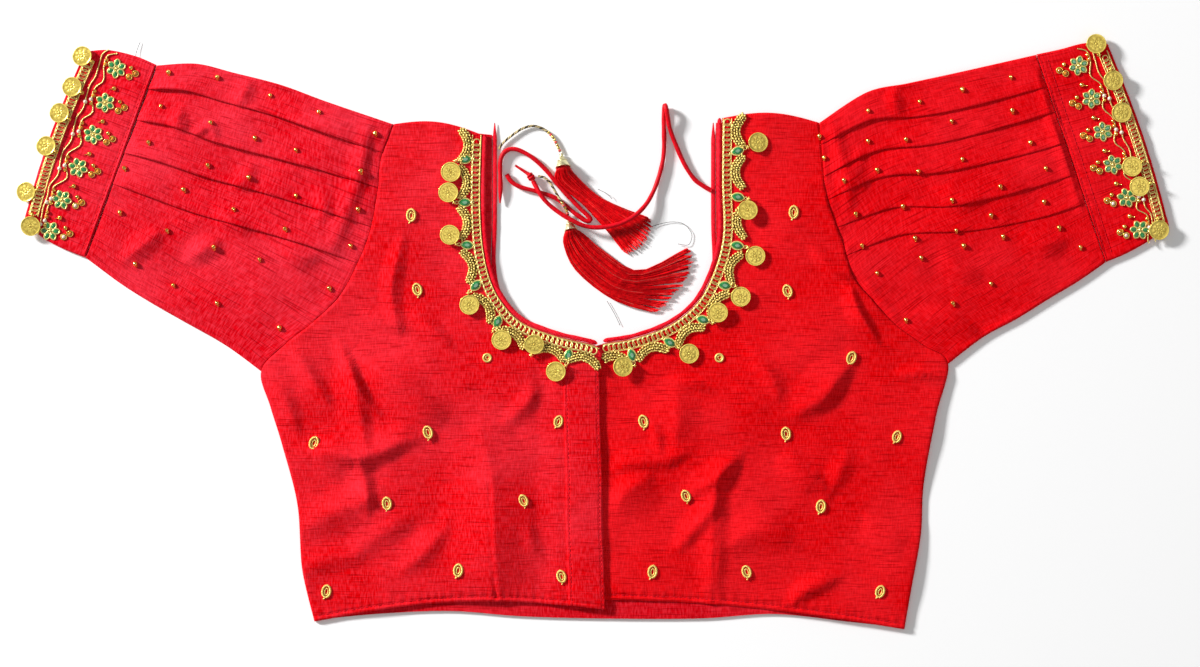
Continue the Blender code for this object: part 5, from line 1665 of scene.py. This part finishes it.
@dataclass
class Coin:
    """A stamped coin with its own ring, hanging on a fixed ring."""

    reach: float = 7.6
    radius: float = 6.5
    wall: float = 0.9
    sides: int = 64
    rings: int = 20

    def relief(self, share: Array, angle: Array) -> Array:
        """The height of the stamped face: a lotus in a beaded border, inside a raised rim."""
        rim = 0.3 * ease((share - 0.86) / 0.05)
        beads = 0.16 * bell(share - 0.8, 0.035) * (0.55 + 0.45 * np.cos(32 * angle))
        outer = np.abs(np.cos(4 * angle)) ** 0.8 * bell(share - 0.5, 0.17)
        vein = 0.35 * bell(np.sin(4 * angle), 0.14) * bell(share - 0.48, 0.14)
        inner = np.abs(np.sin(4 * angle)) ** 0.8 * bell(share - 0.28, 0.09)
        heart = bell(share, 0.1)
        return rim + beads + 0.26 * outer - 0.16 * vein + 0.3 * inner + 0.32 * heart

    def build(self, name: str, hinge: Array, along: Array, axis: Array, finish: Material) -> Piece:
        """Makes the coin at its place.

        Args:
            name: The piece's name.
            hinge: The hinge point, in millimetres.
            along: The direction from the hinge to the coin's middle.
            axis: The hinge's axis.
            finish: Its metal.

        Returns:
            The finished object.
        """
        along = along - axis * along.dot(axis)
        along /= np.linalg.norm(along)
        across = -axis
        up = np.cross(along, across)
        angle = 2 * np.pi * np.arange(self.sides) / self.sides
        shares = np.r_[0.04, np.linspace(0.1, 0.985, self.rings), 1.0]
        half = self.wall / 2
        rows = []
        for share in shares:
            high = half - 0.32 + self.relief(np.full(self.sides, share), angle)
            rows.append((share, np.minimum(high, half) if share < 1 else np.full(self.sides, half - 0.12)))
        for share in np.r_[1.0, np.linspace(0.985, 0.1, 6), 0.04]:
            high = half - 0.32 + self.relief(np.full(self.sides, share), angle)
            rows.append((share, -np.minimum(high, half) if share < 1 else np.full(self.sides, 0.12 - half)))
        rings = []
        for share, high in rows:
            edge = self.radius * share * (1 + 0.004 * np.cos(36 * angle) * (share > 0.99))
            local = np.column_stack([self.reach + edge * np.cos(angle), edge * np.sin(angle), high])
            rings.append(hinge + local @ np.array([along, across, up]))
        maker = MeshMaker()
        maker.skin(np.array(rings), around=True)
        maker.ring(RING_RADIUS, RING_WIRE, hinge, 20, 7, (along, up))
        return maker.build(name, [finish])


@dataclass
class SewnBeads:
    """Small gold work sewn over the cloth: beads on the sleeves and coiled motifs on the fronts."""

    def beads(self, side: Side, surface: Surface, finishes: Finishes, repeat: RepeatTool) -> Piece:
        """Lays the beads on a sleeve."""
        unit = MeshMaker()
        add_dome(unit, (0, 0, 0), 1.75, 2.3, rings=6, sides=16)
        add_dome(unit, (0.4, -1.5, -0.1), 1.1, 1.3, rings=4, sides=12)
        spots = np.array(side.beads, float)
        spots = np.column_stack([spots, surface.height(spots) - 0.1])
        return repeat.lay(f"sleeve_beads_{side.name}", unit, spots, np.zeros((len(spots), 3)), finishes.bead,
                          turn_jitter=0.15, size_jitter=0.12, seed=7)

    def motifs(self, side: Side, surface: Surface, finishes: Finishes, repeat: RepeatTool) -> list[Piece]:
        """Lays the coiled motifs and the small rings on a front."""
        unit = MeshMaker()
        t = np.linspace(0, 2 * np.pi, 60)
        oval = np.column_stack([2.5 * np.sin(t), 3.7 * np.cos(t), np.full(60, 0.6)])
        add_twisted(unit, even_path(oval, 0.35), 0.8, 1.7)
        coil = np.column_stack([1.05 * np.sin(t), 2.1 * np.cos(t) - 0.2, np.full(60, 0.45)])
        unit.sweep(even_path(coil, 0.3), 0.38, 6)
        tail = even_path([(-0.3, -3.7, 0.5), (-0.8, -4.6, 0.45), (-1.4, -5.2, 0.3)], 0.3)
        unit.sweep(tail, 0.42, 6)
        spots = np.array(side.butis, float)
        spots = np.column_stack([spots, surface.height(spots) - 0.15])
        turns = upright(0.35 * np.sin(np.arange(len(spots)) * 2.3))
        made = [repeat.lay(f"coiled_motifs_{side.name}", unit, spots, turns, finishes.purl, turn_jitter=0.08,
                           size_jitter=0.06, seed=3)]
        rings = MeshMaker()
        x, y = side.small_ring
        high = surface.under(side.small_ring)
        rings.ring(2.5, 0.7, (x, y, high + 0.35), 22, 7)
        rings.ring(1.2, 0.35, (x + 0.3, y + 0.2, high + 0.3))
        made.append(rings.build(f"small_rings_{side.name}", [finishes.purl]))
        return made


@dataclass
class Stitching:
    """Rows of machine stitches, each a short flat dash sunk in the cloth."""

    length: float = 1.9
    pitch: float = 2.9

    def sew(self, name: str, rows: Sequence[tuple[Array, Surface]], finish: Material,
            repeat: RepeatTool) -> Piece:
        """Lays the stitches of some flat rows, each on its own cloth."""
        spots, turns = [], []
        for row, surface in rows:
            line = even_path(row, self.pitch)
            way = travel(line)
            spots.append(lifted(line, surface.height(line) + 0.05))
            turns.append(upright(np.arctan2(way[:, 1], way[:, 0])))
        unit = MeshMaker()
        half = self.length / 2
        dash = np.array([(-half, 0, -0.15), (-half * 0.6, 0, 0.12), (half * 0.6, 0, 0.12), (half, 0, -0.15)])
        unit.sweep(dash, 0.24, 6)
        return repeat.lay(name, unit, np.vstack(spots), np.vstack(turns), finish, turn_jitter=0.06,
                          size_jitter=0.1, seed=11)


# ---------------------------------------------------------------- ties and tassels

DORI_DIAMETER = 3.0
DORI_STEP = 1.0
STRING_DIAMETER = 1.8
STRING_STEP = 0.5
DORI_RIGHT_ROUTE = (
    (70.8, 194.2, 1.5), (64.5, 197.9, 1.8), (59.4, 202.0, 1.8), (53.4, 211.0, 1.8), (48.2, 222.4, 1.8),
    (43.6, 234.5, 2.8), (41.9, 243.0, 4.6), (41.0, 248.0, 5.2), (40.2, 250.4, 3.6), (39.6, 248.0, 1.9),
    (39.4, 241.0, 1.8), (39.6, 232.0, 1.8), (39.6, 222.0, 1.8), (38.6, 213.0, 1.8), (36.2, 203.4, 1.8),
    (32.8, 194.2, 2.2), (27.9, 185.4, 4.0), (21.0, 178.2, 5.6), (12.5, 173.2, 6.0), (4.0, 170.6, 6.2),
    (-4.0, 169.8, 5.8), (-10.0, 170.2, 5.6), (-16.0, 172.0, 6.0), (-21.6, 174.8, 6.0), (-27.4, 178.2, 5.2),
    (-33.0, 182.2, 4.4), (-38.3, 187.0, 5.0), (-42.2, 192.2, 5.2), (-44.9, 197.0, 4.0), (-46.6, 200.2, 3.0),
)
DORI_LEFT_ROUTE = (
    (-68.6, 186.0, 1.8), (-68.2, 195.0, 1.8), (-68.3, 204.0, 1.8), (-68.4, 212.5, 1.8), (-66.3, 218.8, 1.8),
    (-61.5, 221.6, 1.8), (-55.5, 220.7, 1.8), (-46.9, 215.8, 1.8), (-38.6, 208.2, 1.8), (-33.8, 202.3, 1.8),
    (-28.6, 196.2, 1.8), (-22.0, 189.0, 1.8), (-15.5, 182.2, 1.8), (-10.6, 177.6, 1.8), (-8.9, 174.6, 1.8),
    (-12.0, 174.3, 1.8), (-17.0, 177.6, 1.8), (-21.6, 181.2, 1.8), (-26.6, 185.4, 1.8), (-32.5, 189.6, 1.8),
    (-45.5, 194.0, 1.8), (-54.5, 196.4, 1.8), (-60.6, 199.8, 1.8), (-64.2, 205.0, 1.8),
)
STRING_1_ROUTE = (
    (-69.3, 221.6, 1.3), (-66.4, 225.9, 1.3), (-60.0, 231.2, 1.3), (-53.5, 235.3, 1.3), (-46.9, 236.9, 1.3),
    (-40.5, 235.2, 1.3), (-35.0, 231.0, 1.3), (-31.4, 225.4, 1.3), (-28.9, 219.8, 1.3),
)
STRING_2_ROUTE = (
    (-43.4, 203.6, 2.6), (-39.8, 203.0, 2.6), (-36.4, 200.4, 2.9), (-33.8, 196.6, 3.6), (-31.0, 191.6, 4.7),
    (-27.6, 186.2, 4.9), (-25.0, 181.6, 3.4), (-23.6, 178.0, 1.8),
)
KNOT_ROUTE = ((-46.8, 200.6, 2.9), (-48.2, 203.4, 2.8), (-49.6, 204.8, 2.7), (-51.2, 206.0, 2.2),
              (-54.8, 208.4, 1.9), (-58.6, 210.9, 1.8))
CAPS = ((-28.2, 218.3, 1.5, -26.9, 209.2, 4.9, 4.8), (-23.2, 176.2, 1.4, -21.7, 167.8, 4.4, 4.1))
BUNDLES = (
    ((-31.4, 208.2, -22.2, 209.2, 4.6, 3.60, 0.20), (-31.4, 199.4, -18.6, 204.2, 2.8, 2.60, 0.34),
     (-15.4, 186.4, -4.4, 191.0, 0.9, 1.40, 0.50), (2.6, 167.0, 13.2, 182.4, 0.9, 1.20, 0.52),
     (12.6, 153.0, 29.8, 176.4, 0.8, 1.00, 0.34)),
    ((-25.7, 167.2, -17.6, 168.2, 4.0, 3.20, 0.18), (-26.6, 158.6, -13.0, 165.2, 2.2, 2.20, 0.36),
     (-18.6, 141.6, 1.0, 153.6, 0.9, 1.60, 0.58), (4.0, 123.4, 23.6, 141.4, 0.9, 1.40, 0.56),
     (31.2, 112.6, 54.6, 156.8, 0.8, 1.10, 0.36)),
)
TIP_BULGE = (5.0, 9.0)
HEAD_RADII = (3.9, 3.5)
STRAYS = (
    ((-4.1, 195.2, 2.4), (2.0, 192.1, 1.6), (5.3, 188.8, 1.0)),
    ((31.0, 170.3, 1.0), (37.0, 172.3, 0.5), (44.9, 173.6, 0.4), (52.5, 172.3, 0.4), (57.4, 167.0, 0.4),
     (57.8, 162.4, 0.4), (55.4, 158.4, 0.6), (48.8, 159.1, 0.9)),
    ((2.0, 121.4, 0.6), (7.0, 112.9, 0.4), (10.6, 105.3, 0.4)),
    ((-309.0, 281.5, 1.2), (-308.4, 286.0, 0.8), (-306.0, 292.5, 0.4)),
)


@dataclass
class Ties:
    """The two tie cords, the knot and the strings with their beads."""

    def dori(self, name: str, route: Points, finish: Material, taper: float = 0.0) -> Piece:
        """Makes a sewn fabric cord, with its start tapered over a length."""
        path = even_path(route, DORI_STEP)
        run = np.arange(len(path)) * DORI_STEP
        size = DORI_DIAMETER / 2 * (1 + 0.04 * np.sin(run / 4.3) + 0.03 * np.sin(run / 1.7))
        size *= np.clip(0.3 + run / taper, 0, 1) if taper else 1.0
        maker = MeshMaker()
        maker.sweep(path, size, 12)
        return maker.build(name, [finish])

    def string(self, name: str, route: Points, finishes: Finishes, beads_from: float) -> Piece:
        """Makes a string of pale and dark plies, with beads above its tassel."""
        path = even_path(route, STRING_STEP)
        maker = MeshMaker()
        radius = STRING_DIAMETER / 2
        for ply, finish in enumerate((0, 0, 1)):
            maker.sweep(twist(path, radius * 0.5, 5.2, 2.09 * ply), radius * 0.5, 6, finish=finish)
        start = int(beads_from * len(path))
        for order, spot in enumerate(range(start, len(path) - 2, 4)):
            way = travel(path)[spot]
            rings = [ring_path(size, 10, path[spot] + way * share * 0.95, *axes_about(way))
                     for share, size in ((-1, 0.35), (-0.5, 0.9), (0, 1.05), (0.5, 0.9), (1, 0.35))]
            maker.skin(np.array(rings), around=True, finish=3 if order % 3 == 1 else 2)
        return maker.build(name, [finishes.pale, finishes.black, finishes.bead, finishes.glint])

    def knot(self, finish: Material) -> Piece:
        """Makes the knot from wraps of the cord, with the thin free end past it."""
        path = even_path(KNOT_ROUTE, 0.6)
        maker = MeshMaker()
        run = distance_along(path)
        size = np.interp(run, (0, 1.5, 4.5, 7, run[-1]), (1.3, 1.5, 1.4, 1.1, 0.75))
        maker.sweep(path, size, 10)
        way = travel(path)
        for at, tilt in ((3, 0.5), (5, -0.45), (7, 0.2)):
            across, up = axes_about(way[at])
            up = up + way[at] * tilt
            maker.ring(1.55, 0.85, path[at], 18, 8, (across, up / np.linalg.norm(up)))
        return maker.build("tie_knot", [finish])

    def strays(self, finish: Material) -> Piece:
        """Makes the few loose threads on the floor."""
        maker = MeshMaker()
        for route in STRAYS:
            maker.sweep(even_path(route, 1.2), 0.16, 5)
        return maker.build("loose_threads", [finish])


@dataclass
class Tassel:
    """A tassel: its cap and its strands."""

    number: int
    strands: int = 520
    steps: int = 15
    clumps: int = 11
    tip: Array = field(init=False)
    base: Array = field(init=False)

    def __post_init__(self) -> None:
        """Reads the cap's place."""
        values = CAPS[self.number - 1]
        self.tip, self.base = np.array(values[:3]), np.array(values[3:6])

    def way(self) -> Array:
        """The direction from the cap's tip to its open end."""
        return (self.base - self.tip) / np.linalg.norm(self.base - self.tip)

    def cap(self, finishes: Finishes) -> Piece:
        """Makes the pointed cap with its wire rims."""
        tip, base, wide = self.tip, self.base, CAPS[self.number - 1][6]
        across, up = axes_about(self.way())
        maker = MeshMaker()
        profile = ((0, 0.9), (0.06, 1.15), (0.12, 1.0), (0.3, 1.7), (0.55, wide * 0.66), (0.8, wide * 0.88),
                   (0.92, wide * 0.96), (0.98, wide), (1.0, wide * 0.9), (0.9, wide * 0.7))
        maker.skin(np.array([ring_path(size, 24, tip + (base - tip) * share, across, up)
                             for share, size in profile]), around=True)
        for share, size in ((0.02, 1.15), (0.5, wide * 0.62), (0.97, wide)):
            maker.ring(size, 0.3, tip + (base - tip) * share, 24, axes=(across, up))
        return maker.build(f"tassel_cone_{self.number}", [finishes.cap])

    def build(self, finishes: Finishes) -> Piece:
        """Makes the strands, with the core that they leave the cap on."""
        base, way = self.base, self.way()
        across, up = axes_about(way)
        maker = MeshMaker()
        radius = HEAD_RADII[self.number - 1]
        core = [ring_path(radius * size, 20, base + way * reach, across, up)
                for reach, size in ((-1.2, 0.5), (-0.6, 0.55), (0.4, 0.5), (1.2, 0.3))]
        maker.skin(np.array(core), around=True)
        rows = np.array(BUNDLES[self.number - 1], float)
        last = rows[-1, :4] - rows[-2, :4]
        along = (last[:2] + last[2:]) / np.linalg.norm(last[:2] + last[2:])
        draw = np.random.default_rng(20 + self.number)
        at = np.linspace(0, 1, self.steps)
        table = table_at(rows, at)
        for _ in range(self.strands):
            share, level = draw.uniform(0.01, 0.99), draw.uniform(0, 1)
            drift = draw.normal(0, 0.035)
            clump = (math.floor(share * self.clumps) + 0.5) / self.clumps
            pull = 0.72 * ease((at - 0.62) / 0.38) * (0.5 + 0.5 * math.sin(clump * 37))
            path_share = np.clip(share + drift * np.sin(np.pi * at) + (clump - share) * pull, 0, 1)
            flat = table[:, :2] + (table[:, 2:4] - table[:, :2]) * path_share[:, None]
            edge = math.sqrt(max(0.0, 1 - (2 * share - 1) ** 2))
            top = table[:, 4] + 2 * table[:, 6] + table[:, 5] - 0.5
            low = np.maximum(table[:, 4] - table[:, 5] + 0.4, 0.35)
            high = low + (top - low) * level * (0.35 + 0.65 * edge)
            longer = TIP_BULGE[self.number - 1] * math.sin(math.pi * share) + draw.normal(0, 1.3)
            shape = along * longer * (np.clip((at - 0.72) / 0.28, 0, 1) ** 1.5)[:, None]
            # About one upper strand in twenty takes the pale glint finish: painted highlights.
            glint = draw.uniform() < 0.05 and level > 0.6
            size = 0.16 if glint else draw.uniform(0.2, 0.3)
            path = np.column_stack([flat + shape, high])
            root = base - way * 1.3 + 0.72 * (path[0] - base)
            maker.sweep(np.vstack([root, path]), size, 3, finish=int(glint))
        return maker.build(f"tassel_strands_{self.number}", [finishes.tassel, finishes.glint])


# ---------------------------------------------------------------- studio and the whole

@dataclass
class Studio:
    """The camera, the floor and the lights."""

    lens: float = 100.0
    sensor: float = 36.0
    height: float = 2.2
    middle: Floats = (-0.00264, 0.1)
    aim: Floats = (0.0, 0.1, 0.0)
    floor_half: float = 4000.0
    floor_level: float = -0.5

    def camera(self) -> None:
        """Sets the camera straight above the blouse."""
        data = bpy.data.cameras.new("camera")
        data.lens = self.lens
        data.sensor_width = self.sensor
        data.dof.use_dof = False
        camera = bpy.data.objects.new("camera", data)
        camera.location = (*self.middle, self.height)
        bpy.context.scene.collection.objects.link(camera)
        bpy.context.scene.camera = camera

    def floor(self) -> None:
        """Lays the pale floor."""
        maker = MeshMaker()
        spots = [(x * self.floor_half, y * self.floor_half, self.floor_level)
                 for x, y in ((-1, -1), (1, -1), (1, 1), (-1, 1))]
        maker.add(np.array(spots), [[0, 1, 2, 3]], closed=False)
        sheet = NodeSheet("pale floor")
        sheet.fill(sheet.shader, {"Base Color": (0.96, 0.96, 0.96, 1), "Roughness": 0.9})
        maker.build("floor", [sheet.material], smooth=False)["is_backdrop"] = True

    def lamp(self, name: str, place: Floats, size: float, power: float) -> None:
        """Hangs an area light that looks at the blouse."""
        data = bpy.data.lights.new(name, "AREA")
        data.size = size
        data.energy = power
        lamp = bpy.data.objects.new(name, data)
        lamp.location = place
        aim = Vector(self.aim) - Vector(place)
        lamp.rotation_euler = aim.to_track_quat("-Z", "Y").to_euler()
        bpy.context.scene.collection.objects.link(lamp)

    def lights(self) -> None:
        """Sets the soft studio light, stronger from the upper left."""
        self.lamp("key", (-3.6, 2.2, 1.8), 0.65, 365.0)
        self.lamp("overhead", (0.1, 0.1, 2.7), 1.3, 8.0)
        self.lamp("fill", (1.8, -1.2, 1.4), 1.6, 4.0)
        world = bpy.data.worlds.new("soft surround")
        world.use_nodes = True
        world.node_tree.nodes["Background"].inputs["Color"].default_value = (1, 1, 1, 1)
        world.node_tree.nodes["Background"].inputs["Strength"].default_value = 0.27
        bpy.context.scene.world = world

    def build(self) -> None:
        """Sets up the whole studio."""
        bpy.context.scene.view_settings.view_transform = "Standard"  # keeps the reds full
        self.camera()
        self.floor()
        self.lights()


def dress(piece: Piece, slot: str, *nodes: str, body: str = "root") -> Piece:
    """Says what a piece rides on and what it replaces."""
    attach(piece, body)
    if nodes:
        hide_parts(*nodes)
    LOG.info("%s: %d faces", piece.name, len(piece.data.polygons))
    return piece


def corners(box: Sequence[Floats]) -> list[list[float]]:
    """A box as plain lists of numbers."""
    return [[float(value) for value in corner] for corner in box]


def hang_coins(frame: dict[str, Any], finishes: Finishes) -> None:
    """Makes each coin where its joint is."""
    for joint in frame["joints"]:
        name = joint["child"]
        hinge = np.array(joint["pos_m"]) / MM
        node = frame["nodes"][name]
        cloud = np.array([vertex.co for vertex in node.data.vertices]) / MM
        reach = np.linalg.norm(cloud - hinge, axis=1)
        far = cloud[reach > 0.98 * reach.max()].mean(axis=0)
        axis = np.array(joint["axis"], float)
        coin = Coin().build(f"{name}_stamped", hinge, far - hinge, axis / np.linalg.norm(axis), finishes.coin)
        dress(coin, "coin_gold", name, body=name)


def tie(finishes: Finishes) -> None:
    """Makes the ties and the tassels."""
    ties = Ties()
    knot = dress(ties.knot(finishes.cord), "silk", "dori_knot")
    for name, route, far_end, carried in (("dori_right", DORI_RIGHT_ROUTE, "knot", [knot]),
                                          ("dori_left", DORI_LEFT_ROUTE, "object", [])):
        taper = 12.0 if name == "dori_left" else 0.0
        cord = dress(ties.dori(f"tie_{name[5:]}", route, finishes.cord, taper), "silk", name)
        path = even_path(route, DORI_STEP)
        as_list(carried)
    for number, route in ((1, STRING_1_ROUTE), (2, STRING_2_ROUTE)):
        string = dress(ties.string(f"string_{number}", route, finishes, 0.72), "string_thread",
                       f"tassel_string_{number}")
        tassel = Tassel(number)
        cone = dress(tassel.cap(finishes), "gold_trim", f"tassel_cap_{number}")
        dress(tassel.build(finishes), "tassel_thread", f"tassel_{number}")
        path = even_path(route, STRING_STEP)
    dress(ties.strays(finishes.black), "tassel_thread")


def main() -> None:
    """Builds every piece in order."""
    logging.basicConfig(level=logging.INFO, format="%(message)s")
    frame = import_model()
    cad_box = corners(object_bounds())
    Studio().build()
    finishes = Finishes.make()
    back_half = Back()
    back, back_roll = back_half.build(finishes)
    dress(back, "silk", "back_panel")
    dress(back_roll, "silk", "back_neck_binding")
    repeat = RepeatTool()
    sewn, stitching, placket = SewnBeads(), Stitching(), Placket()
    strip = dress(placket.build(finishes), "silk", "placket")
    for side in (LEFT, RIGHT):
        front = Front(side)
        panel = dress(front.build(finishes), "silk", f"front_{side.name}")
        dress(Binding(side).build(finishes), "silk", f"neck_binding_{side.name}")
        sleeve = Tube(f"sleeve_cloth_{side.name}", side.sleeve, sleeve_edge(side), side.pleats,
                      side.pleat_heights, side.gape, creases=side.sleeve_creases)
        tube = dress(sleeve.build(finishes.sleeves[side.name]), "silk", f"sleeve_{side.name}")
        cuff = Tube(f"cuff_cloth_{side.name}", side.cuff, cuff_bow(side), rows=54, weave=(45.0, 140.0),
                    seam_lines=side.cuff_seams, welt=side.cuff_welt)
        band = dress(cuff.build(finishes.sleeves[side.name]), "silk", f"cuff_{side.name}")
        dress(sewn.beads(side, sleeve.surface, finishes, repeat), "gold_trim")
        for piece in sewn.motifs(side, front.surface, finishes, repeat):
            dress(piece, "gold_trim")
        rows = [(front.hem_row(), front.surface)] + [(row, cuff.surface) for row in cuff.stitch_rows()]
        if side is LEFT:
            rows += [(row, placket.surface) for row in placket.stitch_rows()]
        dress(stitching.sew(f"stitches_{side.name}", rows, finishes.stitch, repeat), "silk")
        for piece in NeckTrim(side).build(finishes, repeat):
            dress(piece, "gold_trim", f"neck_trim_{side.name}")
        for piece in CuffTrim(side, cuff.surface).build(finishes, repeat):
            dress(piece, "gold_trim", f"cuff_trim_{side.name}")
    hang_coins(frame, finishes)
    tie(finishes)
    {"cad": cad_box, "visual": corners(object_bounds())}


if __name__ == "__main__":
    main()
